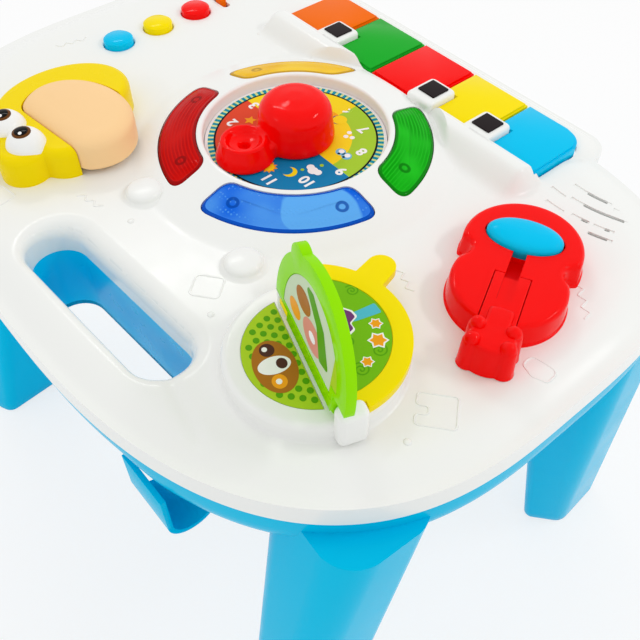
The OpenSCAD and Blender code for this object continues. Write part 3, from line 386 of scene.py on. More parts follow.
def roll(x, z, across, up, count, start=0.0, end=QUARTER, power=1.0):
    """(x, z) pairs along a quarter of an ellipse, from one angle of it to another."""
    return [(x + across * (1 - math.cos(s)), z + up * math.sin(s) ** power)
            for s in np.linspace(start, end, count)]


def join(parts):
    """One list of vertices and faces out of several."""
    verts, faces, start = [], [], 0
    for v, f in parts:
        verts.append(np.asarray(v, dtype=float))
        faces += [[k + start for k in face] for face in f]
        start += len(v)
    return np.concatenate(verts), faces


def evaluated(obj):
    """A new mesh of the object as its modifiers leave it."""
    return bpy.data.meshes.new_from_object(obj.evaluated_get(bpy.context.evaluated_depsgraph_get()))


def apply_all(obj):
    """Applies the object's modifiers."""
    mesh, old = evaluated(obj), obj.data
    obj.modifiers.clear()
    obj.data = mesh
    bpy.data.meshes.remove(old)


def cut(obj, parts, wall_shade=None):
    """Cuts closed skins out of a piece; the cut faces take the material given for painted shade on their
    walls, or the piece's own material.
    """
    tool = piece(obj.name + "_tool", join(parts), None, None, [wall_shade or obj.data.materials[0]])
    modifier = obj.modifiers.new("cut", "BOOLEAN")
    modifier.operation, modifier.solver, modifier.object = "DIFFERENCE", "MANIFOLD", tool
    apply_all(obj)
    bpy.data.objects.remove(tool)
    shade(obj.data)


def prism(outline, low, high):
    return skin([ring(outline, low), ring(outline, high)])


def turned(profile, middle=(0.0, 0.0), count=96):
    """A turned solid from (radius, z) pairs going up the outside."""
    return skin([ring(polar(max(r, 0.01), around(count), middle), z) for r, z in profile])


def ellipse(a, b, count=96, middle=(0.0, 0.0)):
    return polar(1.0, around(count)) * (a, b) + middle


def stadium(straight, r):
    """The outline of a long hole: two half circles with straight sides between them."""
    half = polar(r, np.linspace(-QUARTER, QUARTER, 24), (straight / 2, 0.0))
    return np.concatenate([half, -half])


def fillet(corners, radii, count=8):
    """A counter-clockwise outline whose corners are arcs."""
    corners = np.asarray(corners, dtype=float)
    points = []
    for k, (p, r) in enumerate(zip(corners, np.broadcast_to(radii, len(corners)))):
        if r <= 0:
            points.append(p)
            continue
        a, b = corners[k - 1] - p, corners[(k + 1) % len(corners)] - p
        a, b = a / np.linalg.norm(a), b / np.linalg.norm(b)
        half = math.acos(max(-1.0, min(1.0, float(a @ b)))) / 2
        reach = r / math.tan(half)
        middle = p + (a + b) / np.linalg.norm(a + b) * r / math.sin(half)
        start, end = p + a * reach - middle, p + b * reach - middle
        t0, t1 = math.atan2(start[1], start[0]), math.atan2(end[1], end[0])
        sweep = (t1 - t0 + math.pi) % (2 * math.pi) - math.pi
        points += list(polar(r, t0 + sweep * np.linspace(0, 1, count), middle))
    return np.array(points)


def rectangle(x0, x1, y0, y1):
    return [(x0, y0), (x1, y0), (x1, y1), (x0, y1)]


def rounded_box(x0, x1, y0, y1, z0, z1, corner, top):
    """A box with rounded upright corners and a rounded top edge."""

    def outline(d, z):
        return ring(fillet(rectangle(x0 + d, x1 - d, y0 + d, y1 - d), max(corner - d, 0.3), 6), z)

    return stack(outline, [(0.0, z0)] + roll(0.0, z1 - top, top, top, 6))


def soften(node, width):
    """Rounds the edges of a CAD node that stays in sight, by modifiers only."""
    obj = frame["nodes"][node]
    if "custom_normal" in obj.data.attributes:
        obj.data.attributes.remove(obj.data.attributes["custom_normal"])
    obj.modifiers.new("weld", "WELD").merge_threshold = WELD * MM
    bevel = obj.modifiers.new("bevel", "BEVEL")
    bevel.width, bevel.segments, bevel.harden_normals = width * MM, 3, False
    bevel.limit_method, bevel.angle_limit = "ANGLE", math.radians(SOFT_ANGLE)
    shade(obj.data, SOFT_ANGLE)


# ---- Distances, for outlines that run into each other ----
def smooth_min(a, b, k):
    h = np.clip(0.5 + 0.5 * (b - a) / k, 0, 1)
    return b + (a - b) * h - k * h * (1 - h)


def smooth_max(a, b, k):
    return -smooth_min(-a, -b, k)


def ease(v, low, high):
    t = np.clip((v - low) / (high - low), 0, 1)
    return t * t * (3 - 2 * t)


def to_segment(x, y, a, b):
    dx, dy = b[0] - a[0], b[1] - a[1]
    t = np.clip(((x - a[0]) * dx + (y - a[1]) * dy) / (dx * dx + dy * dy), 0, 1)
    return np.hypot(x - a[0] - t * dx, y - a[1] - t * dy)


def trim(path, reach=0.0, spacing=None):
    """A path without its first and last reach, with as many points as before, or this far apart."""
    steps = np.concatenate([[0], np.cumsum(np.linalg.norm(np.diff(path, axis=0), axis=1))])
    count = max(6, int(steps[-1] / spacing)) if spacing else len(path)
    s = np.linspace(reach, steps[-1] - reach, count)
    return np.column_stack([np.interp(s, steps, path[:, 0]), np.interp(s, steps, path[:, 1])])


def furthest(inside, low, high, rounds):
    """The furthest values between the arrays low and high at which inside still holds."""
    for _ in range(rounds):
        mid = (low + high) / 2
        within = inside(mid)
        low, high = np.where(within, mid, low), np.where(within, high, mid)
    return low


def level(field, middle, inset, count, reach):
    """The outline, seen from the middle, where a distance field is -inset."""
    t = around(count)

    def inside(r):
        return field(*polar(r, t, middle).T) < -inset

    return polar(furthest(inside, np.zeros(count), np.full(count, reach), 26), t, middle)


def level_ring(site, field, middle, count, reach=90.0):
    """A function of (inset, z) that makes a ring round a distance field."""
    return lambda inset, z: ring(at(site, level(field, middle, inset, count, reach)), z)


# ---- White top ----
def rim_half(back, inset):
    """Power and depth of the rounded rectangle that the table's plan is, softer at the back."""
    return np.where(back, BACK_POWER, FRONT_POWER), np.where(back, BACK_DEPTH, FRONT_DEPTH) - inset


def rim_point(t, inset=0.0):
    """Points of the table's plan."""
    c, s = np.cos(t), np.sin(t)
    power, depth = rim_half(s > 0, inset)
    return np.column_stack([(HALF_W - inset) * np.sign(c) * np.abs(c) ** (2 / power),
                            depth * np.sign(s) * np.abs(s) ** (2 / power)])


def in_rim(x, y, d):
    power, depth = rim_half(y > 0, d)
    return (np.abs(x) / (HALF_W - d)) ** power + (np.abs(y) / depth) ** power < 1


def in_shelf(x, y, d):
    mid, half = (SHELF_FRONT + SHELF_BACK) / 2, (SHELF_BACK - SHELF_FRONT) / 2
    qx = np.abs(x) - (SHELF_W / 2 - d - SHELF_CORNER)
    qy = np.abs(y - mid) - (half - d - SHELF_CORNER)
    far = np.hypot(np.maximum(qx, 0), np.maximum(qy, 0)) + np.minimum(np.maximum(qx, qy), 0)
    return far < SHELF_CORNER


def pillow(inside, x, y, rounding):
    """Height of a slab whose rim rounds over, from the inset at which a point falls outside."""
    inset = furthest(lambda d: inside(x, y, d), np.zeros_like(x), np.full_like(x, rounding * 1.001), 22)
    cosine = np.clip(1 - inset / rounding, 0, 1)
    return np.where(inside(x, y, 0.0), SEAM_Z + (TOP_Z - SEAM_Z) * np.sqrt(1 - cosine ** 2), SEAM_Z)


def slope(r):
    return CREST_Z + (SEAT_Z - CREST_Z) * (r - CREST_R) / (SEAT_R - CREST_R)


def hand_hole(x, y):
    """Distance outside the hand hole, and how wide the lip rolls over there."""
    u, v = at((0, 0, -HANDLE[2]), np.column_stack([x - HANDLE[0], y - HANDLE[1]])).T
    out = np.hypot(np.maximum(np.abs(u) - HANDLE_STRAIGHT / 2, 0), v)
    lip = LIP_OUTER + (HANDLE_LIP - LIP_OUTER) * (0.5 - 0.5 * v / np.maximum(out, 1.0))
    return out - HANDLE_R, lip


def lip_drop(x, y):
    """How far the skin has rolled down towards the hand hole."""
    d, lip = hand_hole(x, y)
    t = np.clip(1 - d / lip, 0, 1)
    return lip * (1 - np.sqrt(1 - t ** 2))


# A soft crease in the skin beside the book: its ends, depth and width
FOLD, FOLD_DEPTH, FOLD_W = ((-82.0, 109.0), (-112.0, 116.0)), 0.9, 3.0
CREST_BLEND, RIDGE_BLEND = 0.8, 3.5
# The ridge behind the keys starts this far below the top, and dips by this share along its front
RIDGE_ROOT, RIDGE_DIP = 4, 0.14


def height(x, y):
    """Height of the white skin."""
    z = np.maximum(pillow(in_rim, x, y, RIM_ROUND), pillow(in_shelf, x, y, SHELF_ROUND))
    r = np.hypot(x - CLOCK[0], y - CLOCK[1])
    z = smooth_max(z, np.where(r < CREST_R, CREST_Z, slope(r)), CREST_BLEND)
    along = 1 - ease(np.abs(x), FIELD_W / 2 - 3, FIELD_W / 2 + 7)
    across = 1 - ease(y, KEY_BACK + 7, RIDGE_BACK)
    dip = 1 - RIDGE_DIP * (1 - ease(y, KEY_BACK - 1, KEY_BACK + 5))
    front = ease(y, KEY_BACK - 7, KEY_BACK - 1) * dip
    clear = ease(r, LENS_OUT + 1.2, LENS_OUT + 7)
    ridge = (RIDGE_H + RIDGE_ROOT) * along * across * front * clear
    z = smooth_max(z, TOP_Z - RIDGE_ROOT + ridge, RIDGE_BLEND)
    z = z - lip_drop(x, y)
    return z - FOLD_DEPTH * np.exp(-(to_segment(x, y, *FOLD) / FOLD_W) ** 2)


def top_edge(t):
    """Distance from the clock's axis to the table's edge in each direction."""

    def inside(r):
        x, y = polar(r, t, CLOCK).T
        return in_rim(x, y, 0.0) | in_shelf(x, y, 0.0)

    return furthest(inside, np.zeros(len(t)), np.full(len(t), 260.0), 34)


DIRECTIONS = 720
FLANK_R = 86.0
EDGE_BAND, FLANGE = 14, 2.6


def top_skin():
    """Rings round the clock: up its inner wall, out over the top, down at the edge and back below."""
    angles = around(DIRECTIONS)
    edge = top_edge(angles)

    def at_r(r, z=None, drop=0.0):
        xy = polar(r, angles, CLOCK)
        return ring(xy, height(*xy.T) - drop if z is None else z)

    band = edge - EDGE_BAND
    outer = [FLANK_R + (band - FLANK_R) * s for s in np.linspace(0, 1, 64)[1:]]
    outer += [band + EDGE_BAND * math.sin(s) for s in np.linspace(0, QUARTER, 16)[1:-1]]
    outer.append(edge - 0.03)
    rings = [at_r(SEAT_WALL_R, TOP_Z - 1)]
    rings += [at_r(SEAT_WALL_R + out, CREST_Z - down) for out, down in ((0, 1.2), (0.35, 0.5), (0.9, 0.1))]
    rings += [at_r(r) for r in np.arange(CREST_R, FLANK_R + 0.1, 1.0)]
    rings += [at_r(r) for r in outer]
    rings += [at_r(edge - inward, SEAM_Z + up) for inward, up in ((0, 0.4), (0.9, -0.1), (FLANGE, -0.1))]
    shrink = (edge - FLANGE) / edge
    rings += [at_r(r * shrink, drop=SKIN_T) for r in outer[::-4]]
    rings += [at_r(r, drop=SKIN_T) for r in (80.0, 70.0, 60.0, CREST_R + 1)]
    # The rings run outward over the top, so the faces turn over
    return piece("top_skin", flipped(skin(rings, closed=True)), "table", "white_abs")


LENS_CORNER = 6.5
ARC_POINTS, SIDE_POINTS = 56, 10


def lens_outline(k, inset):
    """Window k between its bridges, less an inset, in the table's frame."""
    r_in, r_out = LENS_IN + inset, LENS_OUT - inset
    first, last = (bridge / 2 + inset for bridge in BRIDGES[k])

    def arc(r):
        ends = math.asin(first / r) - math.pi / 4, math.pi / 4 - math.asin(last / r)
        return polar(r, np.linspace(*ends, ARC_POINTS))

    outside, inside = arc(r_out), arc(r_in)[::-1]
    sides = [outside, np.linspace(outside[-1], inside[0], SIDE_POINTS), inside,
             np.linspace(inside[-1], outside[0], SIDE_POINTS)]
    reach = min(max(LENS_CORNER - inset * 0.55, 0.4), 0.45 * (r_out - r_in))
    points = []
    for i, line in enumerate(sides):
        before, after = trim(line, reach), trim(sides[(i + 1) % 4], reach)
        s = np.linspace(0, 1, 9)[1:-1, None]
        corner = (1 - s) ** 2 * before[-1] + 2 * s * (1 - s) * line[-1] + s ** 2 * after[0]
        points += [before, corner]
    return at((*CLOCK, LENS_TURN + 90 * k), np.concatenate(points))


def hand_outline(grow=0.0):
    return at(HANDLE, stadium(HANDLE_STRAIGHT, HANDLE_R + grow))


# Sound grooves: (radius, x from, x to), and the parts of them that go through
GROOVE_MID = (-116.0, -162.0)
GROOVES = ((58.0, -131.5, -111.0), (60.5, -146.0, -134.0), (66.5, -146.0, -116.0),
           (68.5, -114.0, -105.0), (76.0, -132.5, -123.5), (76.0, -144.0, -134.5),
           (77.5, -120.0, -109.5), (82.3, -147.0, -136.0))
THROUGH = ((58.0, -129.5, -119.0), (66.5, -142.5, -123.0), (76.0, -131.8, -128.6),
           (76.0, -142.0, -139.8), (82.3, -144.8, -136.2))


def grooves(rows, width, low, high):
    """Closed curved bars on circles round one middle."""
    parts = []
    for r, x0, x1 in rows:
        ends = math.acos((x1 - GROOVE_MID[0]) / r), math.acos((x0 - GROOVE_MID[0]) / r)
        t = np.linspace(*ends, 14)
        outline = np.concatenate([polar(r + width / 2, t), polar(r - width / 2, t)[::-1]])
        parts.append(prism(outline + GROOVE_MID, low, high))
    return parts


top = top_skin()
ABOVE = CREST_Z + 14
key_hole = fillet(rectangle(-FIELD_W / 2 - 0.5, FIELD_W / 2 + 0.5, KEY_FRONT - 0.5, KEY_BACK + 0.5),
                  [FIELD_CORNER, FIELD_CORNER, 0, 0])
holes = [prism(hand_outline(LIP_CUT), SEAM_Z - 8, ABOVE), prism(key_hole, SEAM_Z + 2, ABOVE)]
holes += [prism(lens_outline(k, -0.25), TOP_Z - 8, ABOVE) for k in range(4)]
mode_hole = offset(MODE_HOLE, TOP_Z, (0, -8), (0, -0.6), (0.2, -0.25), (0.7, 0.05), (0.7, 4))
holes += [turned(mode_hole, m, 64) for m in MODES]
holes.append(prism(at(SWITCH, fillet(rectangle(-7.5, 7.5, -2.5, 2.5), 2.0)), TOP_Z - 8, TOP_Z + 4))
holes += grooves(GROOVES, 2.0, TOP_Z - 0.55, TOP_Z + 3)
cut(top, holes)
# The grooves that go through get dark walls: painted shade inside the slots
cut(top, grooves(THROUGH, 1.9, TOP_Z - 6, TOP_Z + 3), wall_shade=M["dark_abs"])
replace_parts(top, "top_shell")


def white(name, solid, sharp=SHARP):
    return piece(name, solid, "table", "white_abs", sharp=sharp)


# The rolled lip of the hand hole and the white wall below it
LIP_W, WALL_Z = 2.0, SEAM_Z + 0.3
lip_rings = [ring(hand_outline(), WALL_Z)]
for d in LIP_W * (1 - np.cos(np.linspace(0, QUARTER, 16))):
    outline = hand_outline(d)
    sunk = 0.0 if d < LIP_W - 0.1 else 0.1
    lip_rings.append(ring(outline, height(*outline.T) - sunk))
lip_rings.append(ring(hand_outline(LIP_W), WALL_Z))
white("hand_hole_lip", flipped(skin(lip_rings, closed=True)), 60)

# Two round-topped stubs, three blocks for the black keys, the book's plinth, and the hinge's
# post and lug: their sides in the book's x and y, and how far they rise above the hinge
POST, POST_RISE = (-36.0, -28.0, -8.5, 3.5), 4
LUG, LUG_RISE = (28.5, 32.5, -3.5, 3.5), 3.5
stub = offset(STUB_R, TOP_Z, (2.6, -1), (2.6, 0.02), (1.5, 0.3), (0.6, 1.2))
stub += roll(STUB_R + 0.3, TOP_Z + 1.6, -2.8, STUB_H - 2.0, 9, end=1.4)
stub += offset(0, TOP_Z + STUB_H, (3.5, -0.1), (0.5, 0))
for i, p in enumerate(STUBS):
    white("stub_%d" % (i + 1), turned(stub, p, 64))
for i, k in enumerate(SHARP_GAPS):
    x0, y0 = k * KEY_PITCH - SHARP_BLOCK / 2, KEY_BACK - SHARP_BLOCK
    block = rounded_box(x0, x0 + SHARP_BLOCK, y0, KEY_BACK + 3, TOP_Z - 6, TOP_Z + 8, 3.0, 2.2)
    white("black_key_block_%d" % (i + 1), block)
plinth = offset(PLINTH_R, TOP_Z, (1.8, -1), (1.8, 0), (0.8, 0.3), (0.2, 1.2))
plinth += roll(PLINTH_R, PLINTH_TOP - 3.2, -3.2, 3.2, 8) + [(PLINTH_R - 10, PLINTH_TOP)]
plinth_obj = white("book_plinth", placed(BOOK, turned(plinth, PLINTH_MID, 144)))
start = math.asin((POCKET_EDGE - PLINTH_MID[1]) / POCKET_R)
pocket = polar(POCKET_R, np.linspace(start, math.pi - start, 60), PLINTH_MID)
cut(plinth_obj, [prism(at(BOOK, pocket), PLINTH_TOP - 0.6, PLINTH_TOP + 4)])
white("hinge_post", placed(BOOK, rounded_box(*POST, TOP_Z + 2, HINGE_Z + POST_RISE, 2.6, 2.4)))
white("hinge_lug", placed(BOOK, rounded_box(*LUG, TOP_Z + 2, HINGE_Z + LUG_RISE, 1.5, 1.6)))


BEAD_SIDES = 6


def bead(path, radius, closed=False):
    """A thin raised line that lies on the white skin."""
    path = trim(np.vstack([path, path[:1]]) if closed else path, spacing=0.7)
    x, y = path.T
    z = height(x, y) - radius * 0.25
    d = np.gradient(path, axis=0)
    d /= np.linalg.norm(d, axis=1)[:, None] + 1e-9
    lines = []
    for a in around(BEAD_SIDES):
        out = radius * math.cos(a)
        lines.append(np.column_stack([x - d[:, 1] * out, y + d[:, 0] * out, z + radius * math.sin(a)]))
    return skin(list(np.stack(lines, axis=1)))


def zigzag(x, y, turn, width, depth, count):
    points = [(width * (i / (count - 1) - 0.5), depth * (0.5 if i % 2 else -0.5)) for i in range(count)]
    return at((x, y, turn), points)


# Raised lines on the white top: site, outline and radius of each loop
HOOK_SHAPE = [(-8, -7), (8, -7), (8, -1), (3, -1), (3, 3), (8, 3), (8, 8), (-8, 8)]
HOUSE_SHAPE = [(-6, -4), (6, -4), (7, 2), (1, 5), (-5, 3)]
loops = (((-52.0, 70.0, 38.0), fillet(rectangle(-6.5, 6.5, -6, 6), 2.0), 0.55),
         ((-160.0, 39.5, 40.0), fillet(HOOK_SHAPE, 1.6), 0.55),
         ((-173.0, -5.0, 10.0), fillet(HOUSE_SHAPE, 2.2), 0.5),
         ((60.0, 112.0, 10.0), fillet(rectangle(-6, 6, -5, 5), 2.0), 0.5))
# x, y, turn, width, depth and number of corners of each zigzag, and the places of the dots
zigzags = ((29.0, 81.0, 12.0, 15.0, 3.0, 6), (-104.0, 2.5, 158.0, 14.0, 3.0, 6),
           (-161.0, -47.0, 140.0, 20.0, 3.2, 7), (100.0, 104.0, -30.0, 16.0, 3.0, 6),
           (158.0, 20.0, 80.0, 18.0, 3.0, 7))
DOTS = ((4.4, 73.6), (-66.0, 78.0), (-163.0, 58.0), (95.0, -70.0), (120.0, 60.0), (165.0, -60.0))
dot = offset(0, TOP_Z, (1.6, -1), (1.6, 0.1), (1.1, 0.45), (0.4, 0.55))
beads = [bead(at(site, outline), radius, closed=True) for site, outline, radius in loops]
beads += [bead(zigzag(*sizes), 0.5) for sizes in zigzags]
beads += [turned(dot, p, 20) for p in DOTS]
white("raised_shapes", join(beads), 60)


# ---- Windows round the clock ----
# Name, colour of the tray in painted shade and in painted light, and pattern
LENSES = (("lens_red", tone(186, 0, 2), tone(228, 22, 8), {"ribs": 0.5}),
          ("lens_blue", tone(0, 96, 226), tone(104, 184, 250), {"dots": 0.55}),
          ("lens_green", tone(0, 156, 4), tone(40, 210, 40), {"ribs": 0.5}),
          ("lens_yellow", tone(240, 184, 0), tone(255, 220, 60), {"dots": 0.55}))
LENS_MID = (LENS_IN + LENS_OUT) / 2
LAMP_SPREAD = 25.0
# Where the painted reflection lies, on the blue lens
GLARE = at((*CLOCK, LENS_TURN + 90), (LENS_MID, 16.0))
# The first rings of each lens, its side wall and rolled edge, are in painted shade
SHADED_RIM_RINGS = 5
lens_levels = [(0.0, -4.0), (0.0, -0.9), (0.12, -0.35), (0.45, 0.1), (0.9, 0.35), (1.5, 0.4), (1.9, 0.25)]
lens_levels += [(d, 0.2 + 0.5 * math.sin(min(1, (d - 1.9) / 5) * QUARTER)) for d in np.linspace(2.2, 7.2, 8)]
for k, (node, deep, bright, pattern) in enumerate(LENSES):
    turn = LENS_TURN + 90 * k
    lamps = [at((*CLOCK, turn + side * LAMP_SPREAD), (LENS_MID, 0.0)) for side in (-1, 1)]
    body = window(node + "_body", deep, bright, lamps=lamps, glare=GLARE if k == 1 else None, **pattern)
    # The lens's side wall and rolled edge take a darker copy of the tray's shaded colour: painted shade
    shaded_rim = plastic(node + "_border", shade_of(deep, 0.72), 0.12)

    def lens_ring(inset, rise):
        outline = lens_outline(k, inset)
        return ring(outline, slope(np.hypot(*(outline - CLOCK).T)) + rise)

    verts, faces = stack(lens_ring, lens_levels)
    ring_count = len(verts) // len(lens_levels)
    index = [int(i // ring_count >= SHADED_RIM_RINGS) for i in range(len(faces) - 2)] + [0, 1]
    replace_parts(piece(node + "_window", (verts, faces), "table", node, [shaded_rim, body], 50, index), node)


# ---- Dial print ----
def flat(outline, z):
    outline = np.asarray(outline, dtype=float)
    return prism(outline, z - 0.04, z)


def wedge(r0, r1, a0, a1, count=40):
    """A sector between two radii and two angles in degrees."""
    t = np.radians(np.linspace(a0, a1, count))
    return np.concatenate([polar(r1, t), polar(r0, t)[::-1]])


def star(r0, r1, points, middle=(0, 0), turn=0.0):
    t = math.radians(turn) + np.arange(2 * points) * math.pi / points
    return polar(np.where(np.arange(2 * points) % 2, r0, r1), t, middle)


FIGURE_DEPTH, FIGURE_BOLD = 0.02, 0.28


def glyphs(text, size):
    """Plain figures in Blender's own typeface, as a mesh."""
    curve = bpy.data.curves.new("figure", "FONT")
    curve.body, curve.size = text, size * MM
    curve.extrude, curve.offset = FIGURE_DEPTH * MM, FIGURE_BOLD * MM
    curve.align_x, curve.align_y = "CENTER", "CENTER"
    obj = new_object("figure", curve)
    mesh = evaluated(obj)
    verts = np.array([v.co for v in mesh.vertices]) / MM
    faces = [list(p.vertices) for p in mesh.polygons]
    bpy.data.objects.remove(obj)
    bpy.data.curves.remove(curve)
    bpy.data.meshes.remove(mesh)
    return verts, faces


INK = {name: satin("ink_" + name, tone(*color), 0.35, 0.05) for name, color in {
    "white": (250, 250, 248), "black": (20, 22, 26), "teal": (0, 150, 178), "cream": (226, 236, 150),
    "red": (226, 74, 44), "blue": (16, 126, 178), "lime": (168, 208, 52), "yellow": (250, 218, 30),
    "orange": (248, 166, 28), "sky": (120, 190, 225), "grass": (120, 190, 20), "leaf": (90, 165, 10),
    "purple": (118, 62, 120), "aqua": (84, 190, 210), "brown": (80, 48, 36), "pink": (226, 150, 130),
    "pale": (206, 224, 190), "tan": (176, 112, 30)}.items()}


def prints(name, body, layers, place):
    """Thin printed shapes, each with its ink's name, put in place and joined to one piece."""
    inks = list(dict.fromkeys(ink for ink, _ in layers))
    index = [inks.index(ink) for ink, (_, faces) in layers for _ in faces]
    solid = join([(place(verts), faces) for _, (verts, faces) in layers])
    return piece(name, solid, body, "printed_card", [INK[ink] for ink in inks], 30, index)


# Radii: striped edge, black line, colours, their inner part, and where the hours stand
R_STRIPE, R_BLACK, R_COLOUR, R_CORE, R_HOUR = 44.4, 41.5, 40.5, 28.5, 35
# The stripes, and how many degrees they cover together
STRIPES, STRIPED = 84, 205
HOUR_SIZE = 8.0
dial = [("cream", flat(ellipse(R_STRIPE, R_STRIPE, 144), 0.06))]
for i in range(STRIPES):
    a = 360 * i / STRIPES
    dial.append(("teal", flat(wedge(R_BLACK, R_STRIPE, a, a + STRIPED / STRIPES, 4), 0.10)))
dial.append(("black", flat(ellipse(R_BLACK, R_BLACK, 144), 0.14)))
# Ink of each quarter's outer and inner part, counter-clockwise from the right
QUARTERS = (("red", None), ("blue", None), ("lime", "yellow"), ("yellow", "orange"))
for i, (outer, inner) in enumerate(QUARTERS):
    a = 90 * i
    dial.append((outer, flat(wedge(3, R_COLOUR, a, a + 90), 0.18)))
    if inner:
        dial.append((inner, flat(wedge(3, R_CORE, a, a + 90), 0.22)))


def spot(r, a):
    return polar(r, math.radians(a))


def disc(ink, r, middle, z=0.28):
    dial.append((ink, flat(ellipse(r, r, 32, middle), z)))


for hour in range(1, 13):
    verts, faces = glyphs(str(hour), HOUR_SIZE)
    dial.append(("white", (verts + (*spot(R_HOUR, 90 - 30 * hour), 0.28), faces)))
# Sun, moon and cloud, two dots, a ball, a flower, a pair of eyes, a kite and stars
sun, moon, cloud = spot(27, 112), spot(27.5, 135), spot(27.5, 160)
ball, flower, eyes = spot(26.5, 262), spot(27, 232), spot(27.5, 200)
dial.append(("orange", flat(star(3.0, 4.4, 10, sun), 0.26)))
disc("yellow", 2.7, sun, 0.3)
disc("yellow", 3.6, moon)
disc("blue", 3.0, moon + (1.7, 0.6), 0.32)
for dx, dy, r in ((-2.6, 0, 2.0), (0, 0.9, 2.6), (2.7, 0.1, 2.0)):
    disc("white", r, cloud + (dx, dy), 0.27 + 0.01 * r)
for a, r in ((148, 0.9), (170, 1.0)):
    disc("lime", r, spot(26, a))
disc("purple", 3.7, ball + (0.7, 0.7), 0.27)
disc("yellow", 3.7, ball, 0.3)
for petal in ((-2.2, 0), (0.6, 1.8), (1.8, -1.6)):
    disc("white", 1.3, flower + petal)
for dx in (-2.2, 2.2):
    disc("sky", 2.6, eyes + (dx, 0), 0.27)
    disc("white", 1.5, eyes + (dx, -0.6), 0.3)
    disc("black", 0.7, eyes + (dx * 0.8, 1.6), 0.33)
dial.append(("yellow", flat(star(2.6, 4.2, 3, spot(27, 50), 20), 0.28)))
dial.append(("white", flat(star(1.6, 3.6, 5, spot(27, 78), 10), 0.28)))
for a, ink in ((290, "red"), (318, "teal"), (345, "white"), (20, "orange")):
    dial.append((ink, flat(star(1.7, 3.5, 5, spot(27.5, a), a), 0.3)))
prints("dial_print", "table", dial, lambda verts: at(CLOCK, verts + (0, 0, DIAL_Z)))


# ---- Pointer ----
POINTER_Z = DIAL_Z + 0.6
HUB_R, HUB_H = 19.5, 24.0
CRANK_REACH, CRANK_R, CRANK_H, CRANK_ANGLE = 29.25, 14.8, 11.0, 83.0
WEB_HALF, WEB_DROP = 9.5, 2.4
VOXEL = 0.45
hub = [(3.2, 0)] + offset(HUB_R, 0, (-0.8, 0), (0, 0.8), (0, 4), (-0.6, 9))
hub += roll(HUB_R - 1.2, 14, -8.5, 9, 12, 0.1)
hub += [(HUB_R - 12.5, HUB_H - 0.6), (4, HUB_H - 0.2), (0.5, HUB_H - 0.2)]
grip = [(4.0, 0)] + offset(CRANK_R, 0, (-0.4, 0), (0, 0.5), (-0.3, 2.0), (-3.0, CRANK_H - 1.8))
grip += roll(CRANK_R - 3.2, CRANK_H - 1.2, -1.2, 1.2, 6, 0.2)
grip += offset(CRANK_R, CRANK_H, (-5.2, -0.1), (-6.2, -1.0), (-7.2, -2.6))
grip += offset(0, CRANK_H, (6.0, -3.4), (3.4, -3.8), (2.6, -4.6), (2.3, -8.0), (1, -8.1))
web = rounded_box(8.0, CRANK_REACH - 8, -WEB_HALF, WEB_HALF, 0.0, CRANK_H - WEB_DROP, 2.0, 3.0)
knob = piece("pointer_knob", lifted(turned(hub, CLOCK, 128), POINTER_Z), "pointer", "red_abs")
arm_tools = []
for name, solid in (("grip", turned(grip, (CRANK_REACH, 0.0), 128)), ("web", web)):
    arm = placed((*CLOCK, CRANK_ANGLE), lifted(solid, POINTER_Z))
    tool = piece("pointer_" + name, arm, None, None, [M["red_abs"]])
    union = knob.modifiers.new("union", "BOOLEAN")
    union.operation, union.solver, union.object = "UNION", "MANIFOLD", tool
    arm_tools.append(tool)
remesh = knob.modifiers.new("remesh", "REMESH")
remesh.mode, remesh.voxel_size, remesh.use_smooth_shade = "VOXEL", VOXEL * MM, True
relax = knob.modifiers.new("relax", "SMOOTH")
relax.factor, relax.iterations = 0.5, 14
apply_all(knob)
for tool in arm_tools:
    bpy.data.objects.remove(tool)
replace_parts(knob, "clock_pointer")


# ---- Guitar ----
# The body's two round bouts (u, radius), its waist (u, v, radius) and the middle of its plan
BOUTS, WAIST = ((0.0, 26.0), (24.6, 24.6)), (11.0, 25.4, 5.2)
BODY_MID = (12.5, 0.0)
OVAL_MID, OVAL_A, OVAL_B = (-3.0, -0.3), 16.8, 9.9
# The neck, and the channel that it slides in: from u to u and from v to v
NECK, CHANNEL = (21.1, 52.5, -7.0, 8.2), (20.8, 60.0, -7.3, 8.5)
# The groove along body and neck: its sides, its ends, and its depths in both
SLOT, SLOT_ENDS = (-2.8, 3.2), (6.0, 36.5)
BODY_GROOVE, NECK_GROOVE = 8.0, 2.6
HEAD_U, HEAD_MID, HEAD_TOP = (51.0, 64.5), 1.3, TOP_Z + 15.2
PEG_U, PEG_V, PEG_R, PEG_DOME_R = (54.0, 62.4), 7.1, 3.8, 3.3


def guitar_field(u, v):
    d = smooth_min(*(np.hypot(u - mid, v) - r for mid, r in BOUTS), 1.5)
    return smooth_max(d, WAIST[2] - np.hypot(u - WAIST[0], np.abs(v) - WAIST[1]), 2.2)


def oval_ring(inset, z):
    a, b = max(OVAL_B - inset, 0.2), max(OVAL_A - inset * 1.1, 0.8)
    return ring(at(GUITAR, ellipse(a, b, 96, OVAL_MID)), z)


def head_field(u, v):
    """The head's plan: a block with a round column at each corner and a bulging outer end."""
    v = v - HEAD_MID
    d = np.maximum(np.abs(u - sum(HEAD_U) / 2) - (HEAD_U[1] - HEAD_U[0]) / 2, np.abs(v) - PEG_V - 2.2)
    for pu in PEG_U:
        d = smooth_min(d, np.hypot(u - pu, np.abs(v) - PEG_V) - PEG_R, 0.35)
    bulge = np.maximum(np.hypot(u - PEG_U[1] + 8.0, v) - 12.3, np.abs(v) - 5.2)
    return smooth_min(d, bulge, 0.35)


